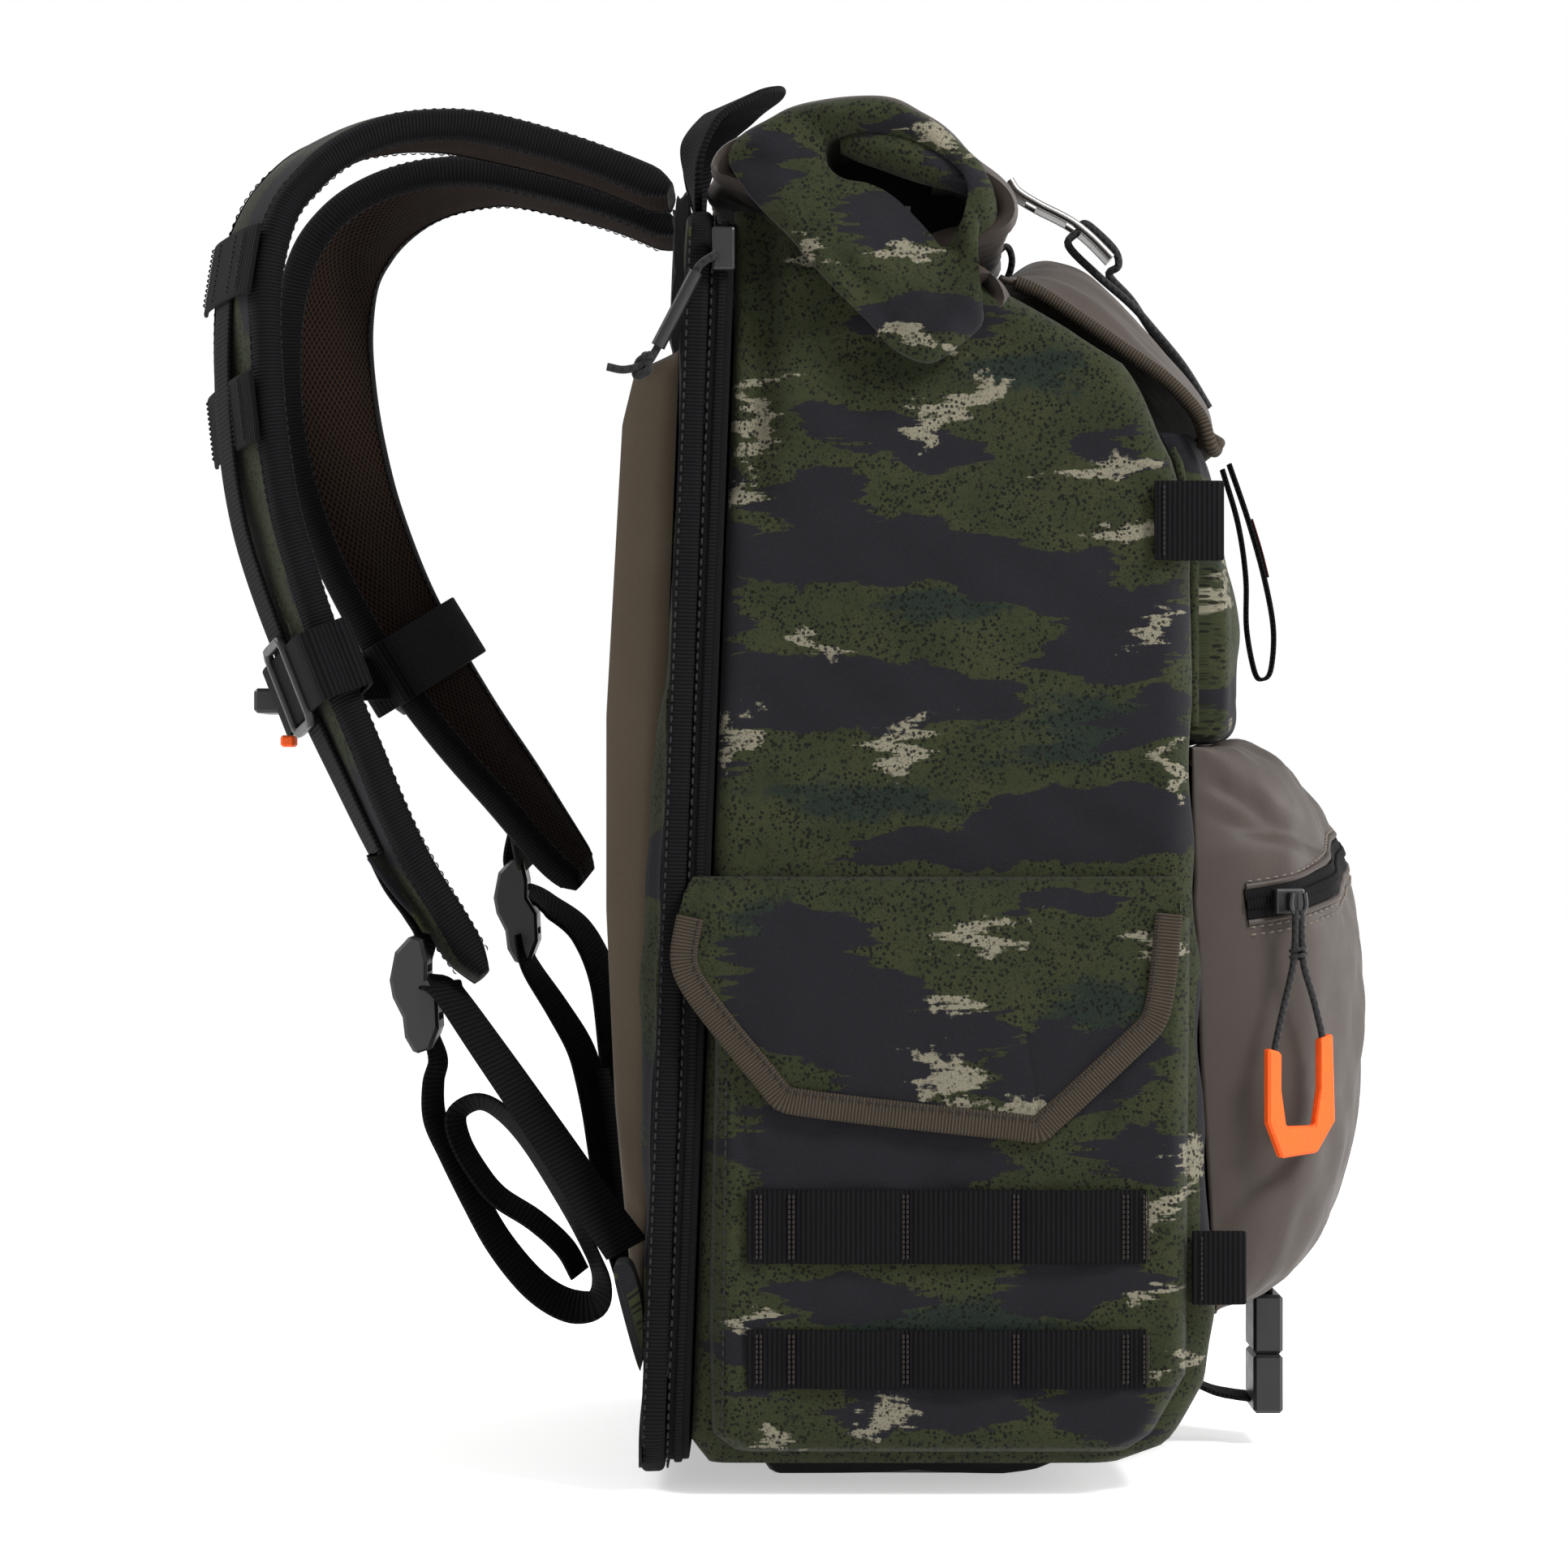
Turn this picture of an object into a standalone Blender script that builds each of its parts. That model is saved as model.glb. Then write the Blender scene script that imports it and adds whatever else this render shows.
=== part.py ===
"""Roll-top hunting backpack.

Frame: origin on the surface the pack stands on, under the middle of the pack; +Z up, +X from the wearer's
back towards the pack's front, -Y on the wearer's left. Lengths below are in millimetres, and the builder
functions turn them into metres.
"""

import math

import bmesh
import bpy
from mathutils import Matrix, Vector

MM = 0.001
GAP = 0.4
SIDES = {"left": -1, "right": 1}

# Driving dimensions of the bag.
BAG_HALF_WIDTH = 138.0
BAG_TOP = 405.0
BAG_FLOOR = 10.0
FABRIC = 2.6
WEBBING = 1.4
WIDE_WEBBING = 25.4
NARROW_WEBBING = 20.0

# The back of the pack leans: its plane's X grows with height.
BACK_X_AT_FLOOR = -41.4
BACK_LEAN = 0.0383

SIDE_POCKET_FACE = 147.0
FLAP_SEAM_HEIGHT = 213.0
FLAP_THICKNESS = 2.2

LID_HALF_WIDTH = 102.0
LOWER_POCKET_HALF_WIDTH = 113.5
UPPER_POCKET_HALF_WIDTH = 101.0

COLOURS = {
    "camo_fabric": (0.045, 0.055, 0.028, 0.85, 0.0),
    "coated_fabric": (0.10, 0.083, 0.070, 0.5, 0.0),
    "taupe_binding": (0.11, 0.088, 0.062, 0.8, 0.0),
    "moulded_foam": (0.14, 0.10, 0.065, 0.9, 0.0),
    "strap_foam": (0.05, 0.045, 0.03, 0.9, 0.0),
    "black_webbing": (0.012, 0.012, 0.013, 0.75, 0.0),
    "black_cord": (0.010, 0.010, 0.011, 0.8, 0.0),
    "black_plastic": (0.012, 0.012, 0.014, 0.4, 0.0),
    "orange_rubber": (0.95, 0.13, 0.015, 0.5, 0.0),
    "hook_metal": (0.35, 0.34, 0.33, 0.35, 1.0),
    "stiff_plastic": (0.05, 0.05, 0.055, 0.5, 0.0),
}


# ---------------------------------------------------------------- scene and materials


def clear_scene():
    for obj in list(bpy.data.objects):
        bpy.data.objects.remove(obj, do_unlink=True)


def new_collection(name):
    collection = bpy.data.collections.new(name)
    bpy.context.scene.collection.children.link(collection)
    return collection


clear_scene()
PARTS = new_collection("hunting_backpack")
CUTTERS = new_collection("cutters")


def material(name):
    found = bpy.data.materials.get(name)
    if found:
        return found
    made = bpy.data.materials.new(name)
    made.use_nodes = True
    red, green, blue, roughness, metallic = COLOURS[name]
    shader = made.node_tree.nodes["Principled BSDF"]
    shader.inputs["Base Color"].default_value = (red, green, blue, 1)
    shader.inputs["Roughness"].default_value = roughness
    shader.inputs["Metallic"].default_value = metallic
    return made


# ---------------------------------------------------------------- builders


def metres(point):
    return Vector(point) * MM


def add_part(name, data, slot):
    obj = bpy.data.objects.new(name, data)
    PARTS.objects.link(obj)
    data.materials.append(material(slot))
    return obj


def make_cutter(obj):
    """Turn a part into a helper that is cut from, or joined to, another part."""
    PARTS.objects.unlink(obj)
    CUTTERS.objects.link(obj)
    obj.hide_render = True
    obj.display_type = "WIRE"
    return obj


def boolean(target, other, operation):
    modifier = target.modifiers.new(operation.lower(), "BOOLEAN")
    modifier.operation = operation
    modifier.object = make_cutter(other)


def carve(target, *others):
    for other in others:
        boolean(target, other, "DIFFERENCE")


def join(target, *others):
    for other in others:
        boolean(target, other, "UNION")


def bevel(obj, width, segments=2, angle=50.0):
    modifier = obj.modifiers.new("rounded edges", "BEVEL")
    modifier.width = width * MM
    modifier.segments = segments
    modifier.angle_limit = math.radians(angle)
    return obj


def put_origin(point, *objects):
    """Move the origin of each moving piece onto its joint's axis, leaving its shape where it is."""
    for obj in objects:
        shift = metres(point)
        obj.data.transform(Matrix.Translation(-shift))
        obj.location = shift


def to_mesh(obj):
    """Replace a curve object by a mesh object with welded caps."""
    bpy.context.view_layer.update()
    graph = bpy.context.evaluated_depsgraph_get()
    mesh = bpy.data.meshes.new_from_object(obj.evaluated_get(graph))
    work = bmesh.new()
    work.from_mesh(mesh)
    bmesh.ops.remove_doubles(work, verts=work.verts, dist=1e-6)
    work.to_mesh(mesh)
    work.free()
    mesh.transform(obj.matrix_world)
    name = obj.name
    bpy.data.objects.remove(obj, do_unlink=True)
    made = bpy.data.objects.new(name, mesh)
    PARTS.objects.link(made)
    return made


def prism(name, outline, low_y, high_y, slot):
    """A flat outline in X and Z, filled and extruded along Y."""
    curve = bpy.data.curves.new(name, "CURVE")
    curve.dimensions = "2D"
    curve.fill_mode = "BOTH"
    curve.extrude = abs(high_y - low_y) / 2 * MM
    spline = curve.splines.new("POLY")
    spline.points.add(len(outline) - 1)
    for point, (x, z) in zip(spline.points, outline):
        point.co = (x * MM, z * MM, 0, 1)
    spline.use_cyclic_u = True
    obj = add_part(name, curve, slot)
    obj.rotation_euler = (math.pi / 2, 0, 0)
    obj.location = (0, (low_y + high_y) / 2 * MM, 0)
    return to_mesh(obj)


def block(name, low, high, slot):
    """A box from its lowest to its highest corner."""
    work = bmesh.new()
    bmesh.ops.create_cube(work, size=1)
    size = metres(high) - metres(low)
    middle = (metres(high) + metres(low)) / 2
    bmesh.ops.scale(work, verts=work.verts, vec=size)
    bmesh.ops.translate(work, verts=work.verts, vec=middle)
    mesh = bpy.data.meshes.new(name)
    work.to_mesh(mesh)
    work.free()
    return add_part(name, mesh, slot)


def sheet(name, rows, thickness, slot, offset=0.0, even=True):
    """A surface through rows of points, thickened. A closed band repeats its first row as its last."""
    work = bmesh.new()
    columns = len(rows[0])
    grid = bmesh.ops.create_grid(work, x_segments=columns - 1, y_segments=len(rows) - 1, size=1)
    places = [metres(point) for row in rows for point in row]
    for vertex, place in zip(grid["verts"], places):
        vertex.co = place
    bmesh.ops.remove_doubles(work, verts=work.verts, dist=1e-6)
    mesh = bpy.data.meshes.new(name)
    work.to_mesh(mesh)
    work.free()
    obj = add_part(name, mesh, slot)
    solidify = obj.modifiers.new("thickness", "SOLIDIFY")
    solidify.thickness = thickness * MM
    solidify.offset = offset
    solidify.use_even_offset = even
    return obj


def ribbon(name, path, half_widths, slot, thickness=WEBBING):
    """Webbing along a path. half_widths holds the vector from the path to one edge, for all or each point."""
    if isinstance(half_widths[0], (int, float)):
        half_widths = [half_widths] * len(path)
    rows = []
    for point, half in zip(path, half_widths):
        centre, across = Vector(point), Vector(half)
        rows.append([centre - across, centre + across])
    return sheet(name, rows, thickness, slot)


def tube(name, points, radius, slot, radii=None, resolution=1):
    """A round cord through points, with filled caps; radii scale it from point to point."""
    curve = bpy.data.curves.new(name, "CURVE")
    curve.dimensions = "3D"
    curve.bevel_depth = radius * MM
    curve.bevel_resolution = resolution
    curve.use_fill_caps = True
    spline = curve.splines.new("POLY")
    spline.points.add(len(points) - 1)
    for index, place in enumerate(points):
        spline.points[index].co = (*metres(place), 1)
        spline.points[index].radius = radii[index] if radii else 1
    return add_part(name, curve, slot)


def smooth_path(points, per_span=3):
    """Points along a Catmull-Rom curve through the given ones."""
    points = [Vector(point) for point in points]
    ends = [2 * points[0] - points[1], *points, 2 * points[-1] - points[-2]]
    found = []
    for index in range(1, len(ends) - 2):
        before, start, end, after = ends[index - 1 : index + 3]
        for step in range(per_span):
            t = step / per_span
            found.append(
                0.5
                * (
                    2 * start
                    + (end - before) * t
                    + (2 * before - 5 * start + 4 * end - after) * t**2
                    + (3 * start - before - 3 * end + after) * t**3
                )
            )
    return [*found, points[-1]]


def between(x, table):
    """Linear interpolation in a table of (x, value) rows of rising x."""
    for (x0, v0), (x1, v1) in zip(table, table[1:]):
        if x <= x1:
            return v0 + (v1 - v0) * (x - x0) / (x1 - x0)
    return table[-1][1]


def inset(points, distance):
    """The open outline moved inwards, where inwards is to the left of its direction of travel."""
    moved = []
    points = [Vector(point) for point in points]
    for index, point in enumerate(points):
        before = (point - points[index - 1]).normalized() if index else None
        after = (points[index + 1] - point).normalized() if index + 1 < len(points) else None
        before, after = before or after, after or before
        left = Vector((-before.y - after.y, before.x + after.x)).normalized()
        moved.append(point + left * distance / max(0.3, left.dot(Vector((-after.y, after.x)))))
    return moved


def rounded_rectangle(half_width, low, high, radius, steps=3):
    """A closed loop of (y, z) points, first point repeated at the end."""
    loop = []
    corners = ((1, high, 0), (-1, high, 90), (-1, low, 180), (1, low, 270))
    for side, height, start in corners:
        centre_y = side * (half_width - radius)
        centre_z = height - radius if height == high else height + radius
        for step in range(steps + 1):
            angle = math.radians(start + 90 * step / steps)
            loop.append((centre_y + radius * math.cos(angle), centre_z + radius * math.sin(angle)))
    return [*loop, loop[0]]


def back_x(depth, height):
    """X of a point that lies depth in front of the leaning back plane."""
    return BACK_X_AT_FLOOR + BACK_LEAN * height + depth


# ---------------------------------------------------------------- main bag and roll top

BAG_FRONT = [(16, 133), (38, 147.3), (62, 150.1), (151, 144.5), (241, 141.7), (334, 141.7), (359, 136.1)]
BAG_OUTLINE = [
    (back_x(9, 18), 18),
    (-26, BAG_FLOOR),
    (118, BAG_FLOOR + 0.5),
    *[(x, z) for z, x in BAG_FRONT],
    (119.2, 392.9),
    (92, BAG_TOP),
    (back_x(9, BAG_TOP), BAG_TOP),
]


def bag_front(height):
    return between(height, BAG_FRONT)


def build_main_bag():
    bag = prism("main_bag", BAG_OUTLINE, -BAG_HALF_WIDTH, BAG_HALF_WIDTH, "camo_fabric")
    bevel(bag, 9)
    front = [(x - FABRIC, z) for z, x in BAG_FRONT[1:]]
    back = [(back_x(9, 40) + FABRIC, BAG_FLOOR + FABRIC), (124, BAG_FLOOR + FABRIC)]
    top = [(116, 390), (88, BAG_TOP - FABRIC), (84, BAG_TOP + 20), (back_x(9, BAG_TOP) + FABRIC, BAG_TOP + 20)]
    inner = BAG_HALF_WIDTH - FABRIC
    carve(bag, prism("main_bag_hollow", [*back, *front, *top], -inner, inner, "camo_fabric"))


ROLL_CENTRE = (32.5, 446.5)
ROLL_RADII = (46.5, 36.0)
ROLL_HALF_WIDTH = 133.0


def build_roll_top():
    turns, steps = 1.45, 21
    rows = []
    for step in range(steps + 1):
        part = step / steps
        angle = math.radians(200) - part * turns * 2 * math.pi
        scale = 1 - 0.52 * part
        x = ROLL_CENTRE[0] + ROLL_RADII[0] * scale * math.cos(angle)
        z = ROLL_CENTRE[1] + ROLL_RADII[1] * scale * math.sin(angle)
        rows.append([(x, -ROLL_HALF_WIDTH, z), (x, ROLL_HALF_WIDTH, z)])
    sheet("roll_top", rows, 4.6, "camo_fabric")
    x, z = ROLL_CENTRE
    block("roll_top_stiffener", (x - 12, -118, z - 1.2), (x + 12, 118, z + 1.2), "stiff_plastic")


def build_bottom_pad():
    outline = [(-6, BAG_FLOOR - GAP), (-6, 0), (82, 0), (101, 5.5), (101, BAG_FLOOR - GAP)]
    prism("bottom_pad", outline, -90, 90, "black_webbing")


# ---------------------------------------------------------------- back of the pack

BINDING_DEPTHS = (-8.4, -GAP)
ZIP_DEPTHS = (GAP, 8.2)
FOAM_BACK = [
    (46, -11.6), (64.5, -13.6), (132.9, -22.5), (201.4, -28.2), (269.8, -30.8), (372.5, -29.1), (390, -25.5),
]
FOAM_TOP = 398.0
FOAM_HALF_WIDTH = 112.0
GUSSET_HEIGHTS = (77.0, 309.0)
GUSSET_DEPTH = 6.5
BEHIND_BINDING = -8.9


def build_back_loop(name, outer, depths, thickness, slot):
    """A band round the whole edge of the back."""
    rows = [[(back_x(depth, z), y, z) for depth in depths] for y, z in outer]
    return sheet(name, rows, thickness, slot, offset=1)


def gusset_depth(height):
    low, high = GUSSET_HEIGHTS
    if not low < height < high:
        return BEHIND_BINDING
    return BEHIND_BINDING - GUSSET_DEPTH * math.sin(math.pi * (height - low) / (high - low))


def build_back_panel():
    heights = [FOAM_TOP, 355, GUSSET_HEIGHTS[1], 270, 230, 193, 155, 115, GUSSET_HEIGHTS[0], FOAM_BACK[0][0]]
    front = [(back_x(gusset_depth(z) - 2 * GAP, z), z) for z in heights]
    back = [(back_x(depth, z), z) for z, depth in FOAM_BACK]
    outline = [*front, *back, (back_x(-20, FOAM_TOP), FOAM_TOP)]
    foam = prism("back_panel_foam", outline, -FOAM_HALF_WIDTH, FOAM_HALF_WIDTH, "moulded_foam")
    bevel(foam, 3, segments=1, angle=60)
    inner = [(back_x(gusset_depth(z) + 0.2, z), z) for z in heights[2:9]]
    low, high = heights[8], heights[2]
    edge = [(back_x(BEHIND_BINDING + 0.4, low), low), (back_x(BEHIND_BINDING + 0.4, high), high)]
    prism("back_gusset", [*inner[1:-1], *edge], -124, 124, "camo_fabric")
    frame = [(back_x(depth, z), z) for depth, z in ((-5, 22), (-3, 22), (-3, 428), (-5, 428))]
    prism("frame_sheet", frame, -127, 127, "stiff_plastic")


def build_back_edge():
    binding = rounded_rectangle(141.5, 5, 446, 26)
    build_back_loop("edge_binding", binding, BINDING_DEPTHS, 5.0, "black_webbing")
    tape = rounded_rectangle(139.4, 9, 442, 25)
    build_back_loop("back_zip_tape", tape, ZIP_DEPTHS, 2.2, "black_webbing")


BACK_SLIDER = (back_x(4.4, 430), -143.0, 430.0)
BACK_PULL_PIVOT = (BACK_SLIDER[0] - 1, -147.4, 428.0)


def build_back_zip_pull():
    x, y, z = BACK_SLIDER
    slider = block("back_zip_slider", (x - 4, y - 2.4, z - 7.5), (x + 4, y + 2.6, z + 7.5), "black_plastic")
    bevel(slider, 1)
    x, y, z = BACK_PULL_PIVOT
    cord = [(x - 2, y, z), (x - 7, y, z - 4), (x - 8, y, z - 6), (x - 22, y, z - 33), (x - 22.6, y, z - 34.5)]
    knot = [(x - 24, y, z - 37), (x - 27, y, z - 39), (x - 32, y, z - 40), (x - 38, y, z - 39.5)]
    radii = [1, 1, 1.7, 1.7, 1, 1, 2.4, 2.4, 1.2]
    pull = tube("back_zip_pull", [*cord, *knot], 1.4, "black_cord", radii)
    put_origin(BACK_SLIDER, slider)
    put_origin(BACK_PULL_PIVOT, pull)


def build_yoke():
    outline = [(back_x(depth, z), z) for depth, z in ((-13.6, 401), (-8.9, 401), (-8.9, 451), (-13.6, 451))]
    prism("strap_yoke", outline, -106, 106, "black_webbing")


HANDLE_PIVOT = (-30.5, 0.0, 449.0)


def build_haul_handle():
    half = WIDE_WEBBING / 2
    leg = [
        ((-30.5, 39, 448.5), (0, half, 0)),
        ((-33.0, 39, 459), (0.5, half, 0.2)),
        ((-35.0, 38, 471), (3, 11.8, 3)),
        ((-33.0, 33, 483), (7.5, 8.5, 5)),
        ((-24.0, 22, 493), (11.2, 3.5, 4.8)),
        ((-15.5, 8, 498.6), (12, 0.6, 4)),
    ]
    path = [point for point, _ in leg] + [(x, -y, z) for (x, y, z), _ in reversed(leg)]
    across = [half for _, half in leg] + [(x, -y, z) for _, (x, y, z) in reversed(leg)]
    handle = ribbon("haul_handle", path, across, "black_webbing", thickness=2.6)
    put_origin(HANDLE_PIVOT, handle)


# ---------------------------------------------------------------- front pockets

LOWER_POCKET_OUTLINE = [
    (143.8, 252), (162, 258), (181, 252), (200, 231), (208, 209), (212, 180),
    (212.4, 144), (210.5, 120), (204, 96), (193, 78), (178, 67), (152, 61),
]
LOWER_POCKET_BULGE = [
    (0, 1.0), (45, 0.96), (80, 0.84), (101, 0.62), (112, 0.30), (LOWER_POCKET_HALF_WIDTH, 0.0),
]
POCKET_STANDOFF = 2.0
UPPER_POCKET_OUTLINE = [(143.8, 369), (150, 366), (158, 340), (165, 306), (165, 285), (163, 265), (143.8, 263)]
UPPER_POCKET_BULGE = [(0, 1.0), (60, 0.9), (94, 0.66), (100, 0.4), (UPPER_POCKET_HALF_WIDTH, 0.0)]


def bulged(x, y, z, bulge):
    """A point of a pocket's middle outline, pulled back to the bag's front as the pocket narrows in depth."""
    base = bag_front(z) + POCKET_STANDOFF
    return base + (x - base) * between(abs(y), bulge)


def mirrored(values):
    return [-value for value in reversed(values) if value] + list(values)


def build_pocket(name, outline, bulge, slot):
    """An open-backed shell, puffed out most in the middle."""
    rows = []
    for y in mirrored([y for y, _ in bulge]):
        rows.append([(bulged(x, y, z, bulge), y, z) for x, z in outline])
    return sheet(name, rows, FABRIC, slot, offset=-1, even=False)


def pocket_surface(y, z):
    """X of the lower pocket's front surface."""
    faces = LOWER_POCKET_OUTLINE[2:10]
    x = between(-z, [(-height, x) for x, height in faces])
    return bulged(x, y, z, LOWER_POCKET_BULGE)


def zip_height(y):
    return 203 + 20 * (1 - (y / 112) ** 2)


def build_front_zip():
    rows = []
    for y in mirrored([0, 22, 45, 62, 80, 101, 112]):
        middle = zip_height(y)
        rows.append([(pocket_surface(y, z) + 1.9, y * 1.012, z) for z in (middle - 5.5, middle, middle + 5.5)])
    sheet("front_zip_tape", rows, 1.2, "black_webbing")


ZIP_DIRECTION = Vector((21, 11, 0)).normalized()
ZIP_OUTWARD = Vector((11, -21, 0)).normalized()
FRONT_SLIDER = Vector((176.0, -109.5, 204.5))
PULL_CORD_RADIUS = 1.3


def turned_block(name, centre, size, slot):
    """A box whose length lies along the side of the front zip; size is along it, out from it, and up."""
    obj = block(name, [-length / 2 for length in size], [length / 2 for length in size], slot)
    turn = Matrix((ZIP_DIRECTION, -ZIP_OUTWARD, (0, 0, 1))).transposed().to_4x4()
    obj.data.transform(turn)
    obj.data.transform(Matrix.Translation(metres(centre)))
    return obj


def build_front_pull():
    slider = turned_block("front_zip_slider", FRONT_SLIDER + ZIP_OUTWARD * 2.4, (12, 4.5, 9), "black_plastic")
    bevel(slider, 0.9)
    join(slider, turned_block("slider_bail", FRONT_SLIDER + ZIP_OUTWARD * 5.4, (3, 3.2, 6), "black_plastic"))
    pivot = FRONT_SLIDER + ZIP_OUTWARD * 9.2 + Vector((0, 0, -1))
    hang = [pivot + Vector((0, 0, -2)), pivot + Vector((0, 0, -14)), pivot + Vector((0, 0, -18))]
    back_end = [pivot + ZIP_DIRECTION * along - Vector((0, 0, drop)) for along, drop in ((-5, 36), (-8.6, 49))]
    front_end = [pivot + ZIP_DIRECTION * along - Vector((0, 0, drop)) for along, drop in ((5, 33), (8.6, 45))]
    strand = smooth_path([*hang, *back_end], 2)
    other = smooth_path([*hang, *front_end], 2)
    cord = to_mesh(tube("front_pull_cord", strand, PULL_CORD_RADIUS, "black_cord"))
    join(cord, to_mesh(tube("front_pull_cord_strand", other[2:], PULL_CORD_RADIUS - 0.05, "black_cord")))
    join(cord, turned_block("front_pull_tab", pivot - Vector((0, 0, 9)), (5, 2.8, 15), "black_plastic"))
    grip = build_grip(pivot - Vector((0, 0, 68)))
    put_origin(FRONT_SLIDER, slider)
    put_origin(pivot, cord, grip)


def build_grip(centre):
    """A chamfered U whose two arms take the ends of the cord."""
    outer = [(-13.5, 18), (-8.2, 16.5), (-8.2, 4), (-6, -9.5), (6, -9.5), (8.2, 4), (8.2, 21), (13.5, 22.5)]
    bottom = [(14.5, -8), (7, -19), (-8, -20.5), (-13.5, -8)]
    grip = prism("front_pull_grip", [*outer, *bottom], -2, 2, "orange_rubber")
    turn = Matrix((ZIP_DIRECTION, -ZIP_OUTWARD, (0, 0, 1))).transposed().to_4x4()
    grip.data.transform(Matrix.Translation(metres(centre)) @ turn)
    return bevel(grip, 0.8, segments=1)


PULL_LOOP_PIVOT = (162.0, -20.0, 363.5)


def build_pull_loop():
    down = [(162.5, 362), (168.3, 342), (171.2, 322), (171.5, 303), (174.5, 287)]
    back = [(179.5, 286.5), (181, 303), (177.5, 322), (171.5, 343.5), (164.6, 364)]
    path = [(x, -20, z) for x, z in [*down, *back]]
    loop = ribbon("pocket_pull_loop", path, (0, 4.5, 0), "black_webbing", thickness=1.1)
    put_origin(PULL_LOOP_PIVOT, loop)


# ---------------------------------------------------------------- lid and closure

LID_EDGE = [(76.5, 424.5), (90, 419), (104, 410), (120, 399), (136, 387.6), (147, 375), (149, 366)]
LID_MIDDLE = [(77.5, 426.5), (92, 437), (106, 436.5), (121, 426), (137, 408), (154, 387), (158, 373)]
LID_HINGE = (76.0, 0.0, 424.0)
CLOSURE_HINGE = (158.0, 0.0, 382.0)
LID_THICKNESS = 2.8


def lid_rows(stations, raised=0.0):
    rows = []
    for y in stations:
        crown = 1 - (y / LID_HALF_WIDTH) ** 2
        row = []
        for (x0, z0), (x1, z1) in zip(LID_EDGE, LID_MIDDLE):
            row.append((x0 + (x1 - x0) * crown, y, z0 + (z1 - z0) * crown + raised))
        rows.append(row)
    return rows


def build_lid():
    flap = sheet("lid_flap", lid_rows((-99.5, -55, 0, 55, 99.5)), LID_THICKNESS, "coated_fabric")
    edges = [(x, -LID_HALF_WIDTH - 1, z) for x, z in LID_EDGE[1:-1]]
    corner = [(149, -LID_HALF_WIDTH - 1, 366), (151, -99, 361), (154.5, -80, 362.5)]
    front = [(159, -35, 367.5)]
    half = [*edges, *corner, *front]
    path = [*half, *[(x, -y, z) for x, y, z in reversed(half)]]
    binding = tube("lid_binding", path, 2.6, "taupe_binding")
    put_origin(LID_HINGE, flap, binding)


HOOK_TOP = Vector((85.5, 0, 466.5))
HOOK_END = Vector((121.5, 0, 441.5))


def build_closure():
    along = (HOOK_END - HOOK_TOP).normalized()
    length = (HOOK_END - HOOK_TOP).length
    hook = block("closure_hook", (0, -12.5, -1.3), (length, 12.5, 1.3), "hook_metal")
    bevel(hook, 0.8, segments=1)
    lip = block("hook_lip", (-1.6, -12.5, -6), (1.4, 12.5, 1.2), "hook_metal")
    cord_slot = block("hook_cord_slot", (25.5, -8, -5), (30.5, 8, 5), "hook_metal")
    webbing_slot = block("hook_lightening_slot", (8, -8, -5), (11.5, 8, 5), "hook_metal")
    join(hook, lip)
    carve(hook, cord_slot, webbing_slot)
    turn = Matrix.Rotation(math.atan2(-along.z, along.x), 4, "Y")
    for piece in (hook, lip, cord_slot, webbing_slot):
        piece.data.transform(Matrix.Translation(metres(HOOK_TOP)) @ turn)
    up = Vector((-along.z, 0, along.x))
    slot, bar = HOOK_TOP + along * 28, HOOK_TOP + along * 32
    beyond = HOOK_END + along * 3.6
    lying = [(159, 386), (149.5, 401.5), (138.5, 415), (130, 424.5)]
    inner = [Vector((x, -4, z)) for x, z in lying]
    inner += [Vector((117, -3.4, 436)), slot - up * 5 + Vector((0, -2, 0))]
    over = [slot + up * 1, slot + up * 4.2, bar + up * 5.4, HOOK_END + up * 4.6, beyond + up * 0.8]
    outer = [beyond - up * 4 + Vector((0, 2, 0)), Vector((130.5, 3.2, 427))]
    outer += [Vector((x, 4, z)) for x, z in reversed(lying[:3])]
    cord = tube("closure_cord", smooth_path([*inner, *over, *outer], 2), 1.5, "black_cord")
    put_origin(CLOSURE_HINGE, hook, cord)


# ---------------------------------------------------------------- sides

FLAP_OUTLINE = [
    (-34, 208), (-37, 194.1), (-36.2, 177.4), (-5.6, 138.4), (2.8, 132.8),
    (83.6, 123.6), (90.5, 124.5), (123.9, 155.1), (132.3, 166.2), (137, 208),
]
FLAP_BACK = SIDE_POCKET_FACE + GAP + 0.2
FLAP_FACE = FLAP_BACK + FLAP_THICKNESS
MOLLE_ENDS = (-8.4, 124.6)
MOLLE_STITCHES = [-8.4, 2.8, 42.0, 80.0, 117.6, 124.6]
MOLLE_ROWS = {"upper": (80.8, 106.2), "lower": (37.9, 58.2)}
SIDE_LOOPS = {"upper": (128.2, 151.5, 322.7, 350.2), "lower": (141.2, 159.4, 66.1, 91.3)}


def side_prism(name, outline, near, far, side, slot):
    """A prism whose depth is given outwards from the pack's middle plane, on either side."""
    low, high = sorted((side * near, side * far))
    return prism(name, outline, low, high, slot)


def build_side_pocket(name, side):
    back = BAG_HALF_WIDTH + GAP
    outline = [(-22, 22), (126, 20), (137.5, 42), (138.8, 198), (-19, 198)]
    pocket = side_prism(name, outline, back, SIDE_POCKET_FACE, side, "camo_fabric")
    hollow = [(-20, 24), (125, 22), (135.5, 43), (136.8, 230), (-17, 230)]
    carve(pocket, side_prism(name + "_hollow", hollow, back - 5, SIDE_POCKET_FACE - 2, side, "camo_fabric"))


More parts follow.
